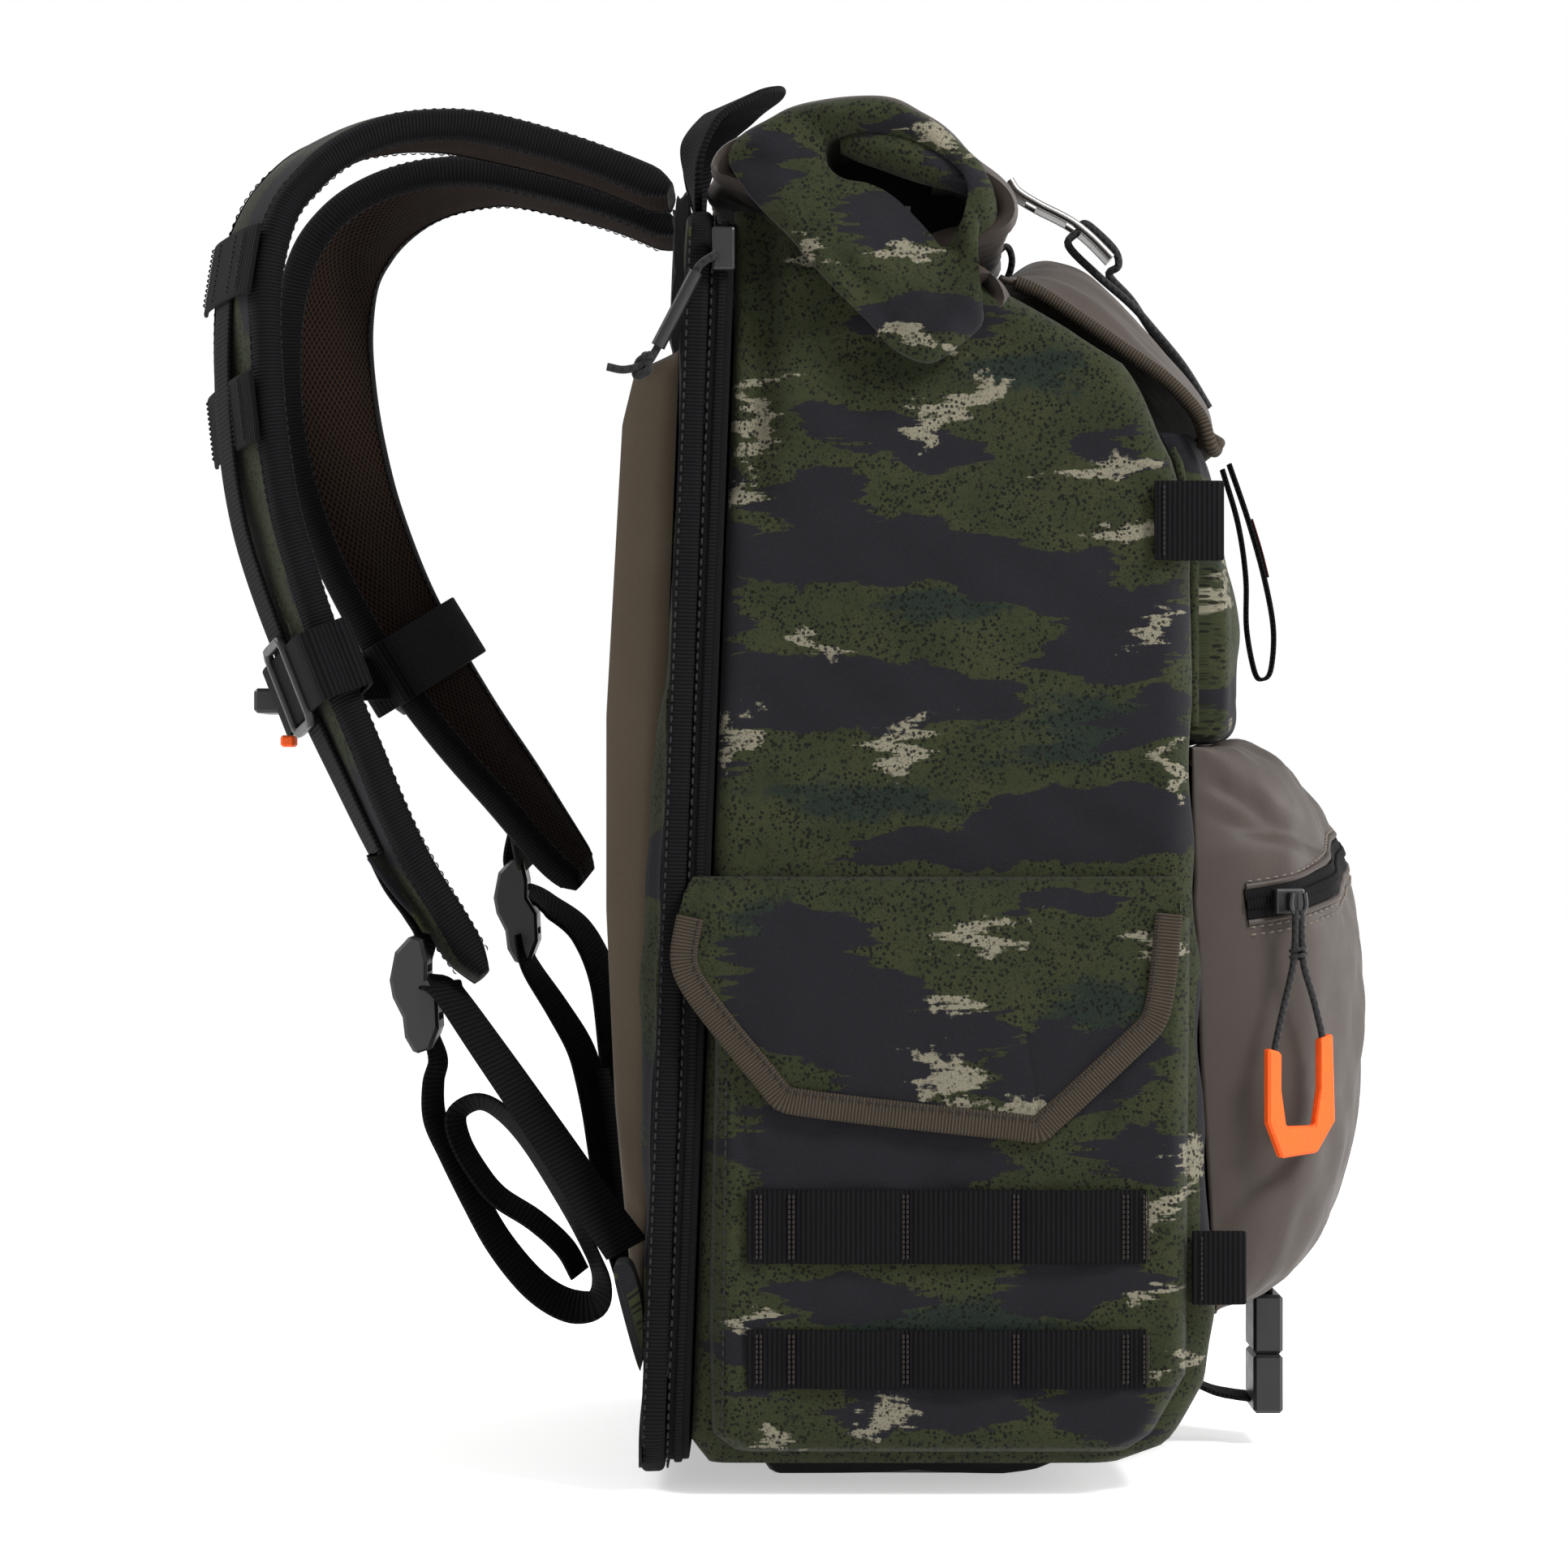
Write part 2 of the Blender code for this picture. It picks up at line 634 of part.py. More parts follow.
def build_flap(suffix, side):
    flap = side_prism("side_flap_" + suffix, FLAP_OUTLINE, FLAP_BACK, FLAP_FACE, side, "camo_fabric")
    root = BAG_HALF_WIDTH + 0.5
    near, far = FLAP_BACK - 0.6, FLAP_FACE - 0.1
    ledge = [(root, 213.4), (root, 211), (near, 201.5), (far, 201.5), (far, 205)]
    rows = [[(x, side * y, z) for y, z in [*ledge, ledge[0]]] for x in (-20, 136)]
    join(flap, fill_ends(rows, "side_flap_ledge_" + suffix))
    binding = [*FLAP_OUTLINE, *reversed(inset(FLAP_OUTLINE, 8))]
    near, far = FLAP_FACE + GAP, FLAP_FACE + GAP + 1.2
    trim = side_prism("flap_binding_" + suffix, binding, near, far, side, "taupe_binding")
    put_origin((0, side * (BAG_HALF_WIDTH + 0.8), FLAP_SEAM_HEIGHT), flap, trim)


def fill_ends(rows, name):
    """A solid between two equal closed outlines."""
    work = bmesh.new()
    rings = [[work.verts.new(metres(point)) for point in row[:-1]] for row in rows]
    for ring in rings:
        work.faces.new(ring)
    bmesh.ops.bridge_loops(work, edges=work.edges)
    bmesh.ops.recalc_face_normals(work, faces=work.faces)
    mesh = bpy.data.meshes.new(name)
    work.to_mesh(mesh)
    work.free()
    return add_part(name, mesh, "camo_fabric")


def build_molle(suffix, side):
    """Webbing stitched down in columns and standing off the pocket between them."""
    for level, (low, high) in MOLLE_ROWS.items():
        stations = []
        for start, end in zip(MOLLE_STITCHES, MOLLE_STITCHES[1:]):
            stations.append((start, 0.0))
            if end - start > 20:
                stations.append(((start + end) / 2, 1.9))
        stations.append((MOLLE_STITCHES[-1], 0.0))
        flat = SIDE_POCKET_FACE + GAP + WEBBING / 2
        path = [(x, side * (flat + bulge), (low + high) / 2) for x, bulge in stations]
        ribbon(f"molle_{level}_{suffix}", path, (0, 0, (high - low) / 2), "black_webbing")


def build_side_loop(level, suffix, side):
    """A short webbing loop sewn in at the front seam and folded over on itself."""
    back, front, low, high = SIDE_LOOPS[level]
    near, far = BAG_HALF_WIDTH + 1.2, BAG_HALF_WIDTH + 4.2
    fold = [(back, near), (front - 2, near), (front, (near + far) / 2), (front - 2, far), (back, far)]
    path = [(x, side * y, (low + high) / 2) for x, y in fold]
    ribbon(f"side_loop_{level}_{suffix}", path, (0, 0, (high - low) / 2), "black_webbing")


# ---------------------------------------------------------------- shoulder straps

STRAP_THICKNESS = 10.0
STRAP_PATHS = {
    "left": [
        (-40.5, 457), (-60, 465.5), (-80, 472.5), (-106, 479), (-124, 481), (-142, 479.5), (-159, 474),
        (-174, 464), (-185, 450), (-191, 428), (-192, 404), (-190, 376), (-185, 345), (-177, 317),
        (-165, 284), (-152, 254), (-137, 223), (-119, 195), (-107, 177),
    ],
    "right": [
        (-40.5, 457), (-60, 465.5), (-80, 472), (-104, 477.5), (-121, 478.5), (-138, 476), (-153, 469.5),
        (-166, 459), (-175, 445), (-179, 425), (-179, 402), (-176, 377), (-168.5, 349), (-157, 321),
        (-143, 296), (-126, 270), (-107, 245), (-88, 219), (-78, 208),
    ],
}
STRAP_OUT = [62, 62, 62, 63, 64, 66, 68, 70, 73, 76, 78, 80, 82, 84, 86, 88, 90, 92, 93]
STRAP_HALF_WIDTHS = [30, 31, 32, 33, 33, 33, 33, 33, 33, 32.5, 32, 32, 31.5, 31, 30, 28, 25, 21, 15]
STRAP_TILTS = {
    "left": [0, 0, 0, 0, 2, 5, 10, 15, 18, 20, 21, 21, 20, 20, 19, 18, 16, 14, 13],
    "right": [0, 0, 0, 0, 3, 7, 12, 17, 21, 25, 28, 30, 30, 28, 26, 24, 22, 19, 16],
}


def strap_frame(suffix, index):
    """Centre, direction of travel, outward normal and half-width vector of a strap at one of its points."""
    side = SIDES[suffix]
    path = [Vector((x, side * out, z)) for (x, z), out in zip(STRAP_PATHS[suffix], STRAP_OUT)]
    before, after = path[max(0, index - 1)], path[min(len(path) - 1, index + 1)]
    along = (after - before).normalized()
    across = Vector((0, side, 0))
    across = (across - along * across.dot(along)).normalized()
    outward = across.cross(along) * side
    tilt = math.radians(STRAP_TILTS[suffix][index])
    across, outward = (
        across * math.cos(tilt) - outward * math.sin(tilt),
        outward * math.cos(tilt) + across * math.sin(tilt),
    )
    return path[index], along, outward, across * STRAP_HALF_WIDTHS[index]


def build_strap(suffix):
    rows = []
    for index in range(len(STRAP_OUT)):
        centre, _, _, half = strap_frame(suffix, index)
        rows.append([centre - half, centre, centre + half])
    sheet("shoulder_strap_" + suffix, rows, STRAP_THICKNESS, "strap_foam", even=False)


WEBBING_FIRST, WEBBING_LAST = 8, 16
WEBBING_STANDOFF = 1.6
LOCK_LEADS = {
    "left": [(-138, -91.5, 210), (-131.5, -93, 200)],
    "right": [(-105.5, 91.5, 222)],
}


def build_strap_webbing(suffix):
    """Webbing down the strap's outer face, running off its end towards the ladder lock."""
    path, across = [], []
    for index in range(WEBBING_FIRST, WEBBING_LAST + 1):
        centre, _, outward, half = strap_frame(suffix, index)
        path.append(centre + outward * (STRAP_THICKNESS / 2 + WEBBING_STANDOFF))
        across.append(half.normalized() * NARROW_WEBBING / 2)
    path += LOCK_LEADS[suffix]
    across += [across[-1]] * len(LOCK_LEADS[suffix])
    ribbon("strap_webbing_" + suffix, path, across, "black_webbing")


LOCK_CENTRES = {"left": (-129.0, -96.0, 171.5), "right": (-104.0, 96.0, 196.0)}
LOCK_PROFILE = [
    (-7.5, 15), (-2, 21), (2.2, 19.5), (3.8, 12), (3.8, 5), (7.5, -1), (8, -12),
    (5.3, -19), (-0.5, -21), (-4, -15), (-4.8, -8), (-8.3, -1), (-9.4, 5),
]
LOCK_SLOTS = (9.0, -8.0)


def build_ladder_lock(suffix):
    """A moulded buckle with a wavy side profile and two narrow slots for webbing."""
    x, y, z = LOCK_CENTRES[suffix]
    name = "ladder_lock_" + suffix
    lock = prism(name, [(x + dx, z + dz) for dx, dz in LOCK_PROFILE], y - 14.5, y + 14.5, "black_plastic")
    bevel(lock, 1.2, segments=1, angle=60)
    for height in LOCK_SLOTS:
        low, high = (x - 15, y - 11, z + height - 1.3), (x + 15, y + 11, z + height + 1.3)
        carve(lock, block(name + "_slot", low, high, "black_plastic"))
    put_origin((x, y, z), lock)


ANCHORS = {"left": (-38.0, -116.0, 66.0), "right": (-38.0, 116.0, 66.0)}
LOWER_PATHS = {
    "left": [(-117.5, 171.5), (-104, 153), (-82, 122), (-66, 99), (-54.5, 83.5)],
    "right": [(-92, 197), (-80, 187), (-71.5, 168), (-67.5, 140), (-64.5, 115), (-60, 96), (-54.5, 83.5)],
}
TAIL_PATHS = {
    "left": [
        (-122.3, 147.6), (-124, 139.5), (-123.5, 127.3), (-118, 115.2), (-110, 99.5), (-100.3, 82.6), (-88, 68),
        (-76, 60.8), (-66.3, 61.5), (-64.5, 70.5), (-70, 84), (-78.5, 99.7), (-90.6, 119), (-100.4, 129.7),
        (-111, 134), (-118.2, 130), (-117.5, 120.5), (-112, 109.5), (-102.6, 100), (-88, 92.5), (-76, 83.5),
        (-68.8, 72),
    ],
    "right": [
        (-97.5, 171.5), (-88, 157), (-79, 141), (-74, 122), (-70.5, 100), (-67, 80), (-63, 62), (-58.5, 50),
        (-55.5, 51), (-58, 64), (-62, 80), (-65.5, 98), (-68.5, 118), (-71.5, 134),
    ],
}
LOWER_OUT = (97.0, 124.0)
TAIL_OUT = {"left": 95.5, "right": 83.0}


def build_lower_webbing(suffix):
    side = SIDES[suffix]
    half = NARROW_WEBBING / 2
    start, end = LOWER_OUT
    last = len(LOWER_PATHS[suffix]) - 1
    path = []
    for index, (x, z) in enumerate(LOWER_PATHS[suffix]):
        path.append((x, side * (start + (end - start) * index / last), z))
    turns = [(0, half, 0)] * (len(path) - 2) + [(1, half, 1.5), (1.5, half, 2)]
    across = [(x, side * y, z) for x, y, z in turns]
    ribbon("lower_webbing_" + suffix, path, across, "black_webbing")
    tail = [(x, side * TAIL_OUT[suffix], z) for x, z in TAIL_PATHS[suffix]]
    ribbon("tail_webbing_" + suffix, tail, (0, side * (half - 1), 0), "black_webbing", thickness=1.2)


def build_anchor_tab(suffix):
    """A triangle of bag fabric sewn into the back seam, which holds the lower webbing's end."""
    side = SIDES[suffix]
    low, high = sorted((side * 114, side * 137.5))
    outline = [(-48.8, 48), (-48.8, 62), (-53.5, 78), (-56, 78), (-57.2, 74), (-50.5, 47)]
    prism("anchor_tab_" + suffix, outline, low, high, "camo_fabric")


# ---------------------------------------------------------------- sternum strap

KEEPER_INDEX = 14
KEEPER_CLEARANCE = 2.4


def build_keeper(suffix):
    """A webbing band right round a shoulder strap, loose enough to slide along it."""
    centre, along, outward, half = strap_frame(suffix, KEEPER_INDEX)
    inner = STRAP_THICKNESS / 2 + KEEPER_CLEARANCE
    outer = inner + WEBBING + 1.2
    wide = half.length + KEEPER_CLEARANCE + 1
    across = half.normalized()
    corners = [(-wide, -inner), (wide, -inner), (wide, outer), (-wide, outer), (-wide, -inner)]
    rows = []
    for u, v in corners:
        middle = centre + across * u + outward * v
        rows.append([middle - along * WIDE_WEBBING / 2, middle + along * WIDE_WEBBING / 2])
    sheet("sternum_keeper_" + suffix, rows, WEBBING, "black_webbing", offset=0)
    return centre - across * (wide + WEBBING + 3)


def build_buckle(prefix, size, turn, slot="black_plastic"):
    """A two-part buckle. Local +X runs from the plug's tail to the socket; size is length, width, thickness."""
    length, width, thick = size
    half_w, half_t = width / 2, thick / 2
    socket = block(prefix + "_socket", (GAP / 2, -half_w, -half_t), (length / 2, half_w, half_t), slot)
    bevel(socket, 1.2, segments=1)
    low, high = (-5, -half_w + 2.2, -half_t + 1.6), (12, half_w - 2.2, half_t - 1.6)
    hollow = block(prefix + "_hollow", low, high, slot)
    carve(socket, hollow)
    plug = block(prefix + "_plug", (-length / 2, -half_w, -half_t), (-GAP / 2, half_w, half_t), slot)
    bevel(plug, 1.2, segments=1)
    tongue = block(prefix + "_tongue", (-3, -half_w + 3, -half_t + 2.2), (10, half_w - 3, half_t - 2.2), slot)
    join(plug, tongue)
    for piece in (socket, hollow, plug, tongue):
        piece.data.transform(turn)
    return socket, plug


STERNUM_BUCKLE = Vector((-181, -24, 276))


def build_sternum():
    """The strap across the chest: a band round each shoulder strap, a buckle, and the webbing between them."""
    build_keeper("left")
    right_edge = build_keeper("right")
    turn = Matrix.Translation(metres(STERNUM_BUCKLE)) @ Matrix.Rotation(-math.pi / 2, 4, "Z")
    build_buckle("sternum_buckle", (46, 24, 9), turn)
    tail = STERNUM_BUCKLE + Vector((0, 23.8, 0))
    route = [tail, tail + Vector((2, 14, 2.5)), tail + Vector((10, 33, 9)), right_edge]
    ribbon("sternum_webbing", route, [(0, 0, 9), (0, 0, 9), (-2.5, 0, 8.6), (-4.7, 0, 7.7)], "black_webbing")
    whistle = block("sternum_whistle", (-183.5, -45, 259.2), (-178.5, -32, 263.4), "orange_rubber")
    bevel(whistle, 0.8, segments=1)


# ---------------------------------------------------------------- bottom strap

BOTTOM_BUCKLE = Vector((180.0, 0, 34.0))


def build_bottom_strap():
    turn = Matrix.Translation(metres(BOTTOM_BUCKLE)) @ Matrix.Rotation(-math.pi / 2, 4, "Y")
    socket, plug = build_buckle("bottom_buckle", (44, 32, 11), turn)
    half = (0, WIDE_WEBBING / 2, 0)
    upper = [(152.2, 0, 57.5), (163, 0, 58.3), (174, 0, 59.6), (180, 0, 59.2), (180.6, 0, 57)]
    ribbon("bottom_strap_upper", upper, half, "black_webbing")
    lower = [(150.5, 0, 23.5), (160, 0, 19), (173.4, 0, 17)]
    strap = ribbon("bottom_strap_lower", lower, half, "black_webbing")
    put_origin(BOTTOM_BUCKLE, plug, strap)


# ---------------------------------------------------------------- assembly


def build_backpack():
    build_main_bag()
    build_roll_top()
    build_bottom_pad()
    build_back_panel()
    build_back_edge()
    build_back_zip_pull()
    build_yoke()
    build_haul_handle()
    build_pocket("upper_front_pocket", UPPER_POCKET_OUTLINE, UPPER_POCKET_BULGE, "camo_fabric")
    build_pocket("lower_front_pocket", LOWER_POCKET_OUTLINE, LOWER_POCKET_BULGE, "coated_fabric")
    build_front_zip()
    build_front_pull()
    build_pull_loop()
    build_lid()
    build_closure()
    for suffix, side in SIDES.items():
        build_side_pocket("side_pocket_" + suffix, side)
        build_flap(suffix, side)
        build_molle(suffix, side)
        for level in SIDE_LOOPS:
            build_side_loop(level, suffix, side)
        build_strap(suffix)
        build_strap_webbing(suffix)
        build_ladder_lock(suffix)
        build_lower_webbing(suffix)
        build_anchor_tab(suffix)
    build_sternum()
    build_bottom_strap()


build_backpack()
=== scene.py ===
"""The looks of the roll-top hunting backpack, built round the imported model.

Lengths are in millimetres until a mesh is made. +X is the pack's front, +Z is up, and -Y is the wearer's
left, which faces the camera. UV maps are in millimetres of cloth, so that prints, ribs and weaves keep their
size.
"""

import math

import bmesh
import bpy
import numpy as np
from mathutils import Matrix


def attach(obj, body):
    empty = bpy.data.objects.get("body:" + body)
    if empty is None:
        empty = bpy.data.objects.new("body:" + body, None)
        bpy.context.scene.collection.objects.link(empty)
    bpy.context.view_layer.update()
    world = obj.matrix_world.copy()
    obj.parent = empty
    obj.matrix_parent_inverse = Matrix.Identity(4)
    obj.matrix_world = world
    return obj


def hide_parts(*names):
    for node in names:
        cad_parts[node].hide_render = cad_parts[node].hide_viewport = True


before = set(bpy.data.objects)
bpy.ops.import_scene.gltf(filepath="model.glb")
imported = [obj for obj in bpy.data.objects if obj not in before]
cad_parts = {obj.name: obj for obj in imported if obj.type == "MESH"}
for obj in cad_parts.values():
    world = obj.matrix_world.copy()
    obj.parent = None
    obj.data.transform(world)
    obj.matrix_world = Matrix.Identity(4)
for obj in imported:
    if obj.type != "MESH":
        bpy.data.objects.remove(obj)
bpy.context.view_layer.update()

MM = 0.001
SIDES = {"left": -1, "right": 1}
# The back is flat and leans: X at the floor, and how far X grows with each millimetre of height.
BACK_X_AT_FLOOR = -41.4
BACK_LEAN = 0.0383
WEBBING = 1.6
WEBBING_WIDTH = 25.4
STRAP_WEBBING_WIDTH = 20.0
CORD_DIAMETER = 2.5
PULL_CORD_DIAMETER = 2.8
HOOK_CORD_DIAMETER = 3.0
TAIL_WIDTH = 18.0

CAMERA_DISTANCE = 1.8
CAMERA_HEIGHT = 0.2456
VIEW_WIDTH = 0.5869
SENSOR_WIDTH = 36.0


# ---------------------------------------------------------------- camera, lights and stage


def place_camera():
    """The camera stands level, square to the pack's side, at the middle of its height."""
    data = bpy.data.cameras.new("camera")
    data.sensor_width = SENSOR_WIDTH
    data.lens = SENSOR_WIDTH * CAMERA_DISTANCE / VIEW_WIDTH
    data.clip_end = 20.0
    camera = bpy.data.objects.new("camera", data)
    camera.location = (0.0003, -CAMERA_DISTANCE, CAMERA_HEIGHT)
    camera.rotation_euler = (math.pi / 2, 0, 0)
    bpy.context.scene.collection.objects.link(camera)
    bpy.context.scene.camera = camera


def area_light(name, place, target, size, watts):
    """A round lamp at a place, turned to face a target."""
    data = bpy.data.lights.new(name, "AREA")
    data.shape = "DISK"
    data.size = size
    data.energy = watts
    lamp = bpy.data.objects.new(name, data)
    lamp.location = place
    aim = np.array(target, float) - np.array(place, float)
    lamp.rotation_euler = (
        math.acos(-aim[2] / np.linalg.norm(aim)),
        0,
        math.atan2(aim[1], aim[0]) - math.pi / 2,
    )
    bpy.context.scene.collection.objects.link(lamp)


def light_world():
    """White near the horizon, and half as bright overhead."""
    world = bpy.data.worlds.new("studio")
    world.use_nodes = True
    tree = world.node_tree
    place = tree.nodes.new("ShaderNodeTexCoord")
    split = tree.nodes.new("ShaderNodeSeparateXYZ")
    fade = tree.nodes.new("ShaderNodeMapRange")
    for name, value in {"From Min": 0.16, "From Max": 0.8, "To Min": 1.0, "To Max": 0.5}.items():
        fade.inputs[name].default_value = value
    tree.links.new(place.outputs["Generated"], split.inputs[0])
    tree.links.new(split.outputs["Z"], fade.inputs["Value"])
    tree.links.new(fade.outputs[0], tree.nodes["Background"].inputs["Strength"])
    tree.nodes["Background"].inputs["Color"].default_value = (1, 1, 1, 1)
    bpy.context.scene.world = world


def lay_floor():
    """A white floor bright enough to meet the background without an edge."""
    mesh = bpy.data.meshes.new("floor")
    reach = 6.0
    corners = [(-reach, -reach, 0), (reach, -reach, 0), (reach, reach, 0), (-reach, reach, 0)]
    mesh.from_pydata(corners, [], [(0, 1, 2, 3)])
    floor = bpy.data.objects.new("floor", mesh)
    floor.location.z = -0.0004
    bpy.context.scene.collection.objects.link(floor)
    paint = bpy.data.materials.new("floor")
    paint.use_nodes = True
    shader = paint.node_tree.nodes["Principled BSDF"]
    shader.inputs["Base Color"].default_value = (0.9, 0.9, 0.9, 1)
    shader.inputs["Roughness"].default_value = 0.9
    shader.inputs["Emission Color"].default_value = (1, 1, 1, 1)
    shader.inputs["Emission Strength"].default_value = 0.46
    mesh.materials.append(paint)


place_camera()
light_world()
area_light("key", (1.2, -1.1, 1.6), (0.05, 0, 0.22), 0.6, 42)
area_light("rim", (-1.4, 0.5, 1.3), (-0.05, 0, 0.3), 0.8, 10)
area_light("front", (1.6, 0.3, 0.5), (0.1, 0, 0.2), 0.9, 12)
lay_floor()
bpy.context.scene.view_settings.view_transform = "Standard"


# ---------------------------------------------------------------- materials


class Nodes:
    """Short names for building a material's nodes."""

    def __init__(self, name, roughness, metallic=0.0, sheen=0.0, specular=0.5):
        self.material = bpy.data.materials.new(name)
        self.material.use_nodes = True
        self.tree = self.material.node_tree
        self.shader = self.tree.nodes["Principled BSDF"]
        self.shader.inputs["Roughness"].default_value = roughness
        self.shader.inputs["Metallic"].default_value = metallic
        self.shader.inputs["Specular IOR Level"].default_value = specular
        self.shader.inputs["Sheen Weight"].default_value = sheen
        self.shader.inputs["Sheen Roughness"].default_value = 0.45

    def node(self, kind, inputs, output=0, **settings):
        made = self.tree.nodes.new("ShaderNode" + kind)
        for name, value in settings.items():
            setattr(made, name, value)
        for name, value in inputs.items():
            if isinstance(value, bpy.types.NodeSocket):
                self.tree.links.new(value, made.inputs[name])
            else:
                made.inputs[name].default_value = value
        return made.outputs[output]

    def math(self, operation, first, second=0.0):
        return self.node("Math", {0: first, 1: second}, operation=operation)

    def mix(self, share, first, second):
        colours = {6: first, 7: second}
        for key, colour in colours.items():
            if isinstance(colour, tuple) and len(colour) == 3:
                colours[key] = (*colour, 1)
        return self.node("Mix", {0: share, **colours}, output=2, data_type="RGBA")

    def rise(self, value, low, high):
        """0 below low, 1 above high, and smooth between."""
        inputs = {"Value": value, "From Min": low, "From Max": high}
        return self.node("MapRange", inputs, interpolation_type="SMOOTHSTEP")

    def uv(self):
        return self.node("UVMap", {}, uv_map="cloth")

    def place_in_mm(self):
        return self.scaled(self.node("TexCoord", {}, output=3), (1 / MM, 1 / MM, 1 / MM))

    def scaled(self, vector, scale):
        return self.node("Mapping", {"Vector": vector, "Scale": scale})

    def noise(self, vector, scale, detail=2.0, roughness=0.5):
        inputs = {"Vector": vector, "Scale": scale, "Detail": detail, "Roughness": roughness}
        return self.node("TexNoise", inputs)

    def cells(self, vector, scale, randomness=1.0):
        return self.node("TexVoronoi", {"Vector": vector, "Scale": scale, "Randomness": randomness})

    def wave(self, vector, axis, period, distortion=0.0):
        """A sine across one axis, from 0 to 1, with the period in the vector's own units."""
        inputs = {"Vector": vector, "Scale": 0.314159 / period, "Distortion": distortion}
        return self.node("TexWave", inputs, output=1, bands_direction=axis, wave_profile="SIN")

    def bump(self, height, millimetres, strength=1.0):
        inputs = {"Height": height, "Distance": millimetres * MM, "Strength": strength}
        self.tree.links.new(self.node("Bump", inputs), self.shader.inputs["Normal"])

    def colour(self, value):
        if isinstance(value, tuple):
            self.shader.inputs["Base Color"].default_value = (*value, 1)
        else:
            self.tree.links.new(value, self.shader.inputs["Base Color"])

    def rough(self, value):
        self.tree.links.new(value, self.shader.inputs["Roughness"])


def patches(nodes, vector, blobs):
    """How far inside the nearest of some leaning ellipses a point is: 1 in its middle, 0 on its edge."""
    nearest = None
    for u, v, half_width, half_height, lean in blobs:
        inputs = {
            "Vector": vector,
            "Location": (u, v, 0),
            "Rotation": (0, 0, math.radians(lean)),
            "Scale": (half_width, half_height, 1),
        }
        local = nodes.node("Mapping", inputs, vector_type="TEXTURE")
        flat = nodes.node("VectorMath", {0: local, 1: (1, 1, 0)}, operation="MULTIPLY")
        far = nodes.node("VectorMath", {0: flat}, output=1, operation="LENGTH")
        nearest = far if nearest is None else nodes.math("MINIMUM", nearest, far)
    return nodes.math("SUBTRACT", 1.0, nearest)


OLIVE = (0.0225, 0.0265, 0.0105)
DARK_OLIVE = (0.0125, 0.016, 0.0068)
TEAL = (0.0078, 0.0135, 0.0112)
CHARCOAL = (0.0086, 0.0084, 0.0108)
CREAM = (0.168, 0.154, 0.112)
SPECKLE = (0.0024, 0.0027, 0.0022)


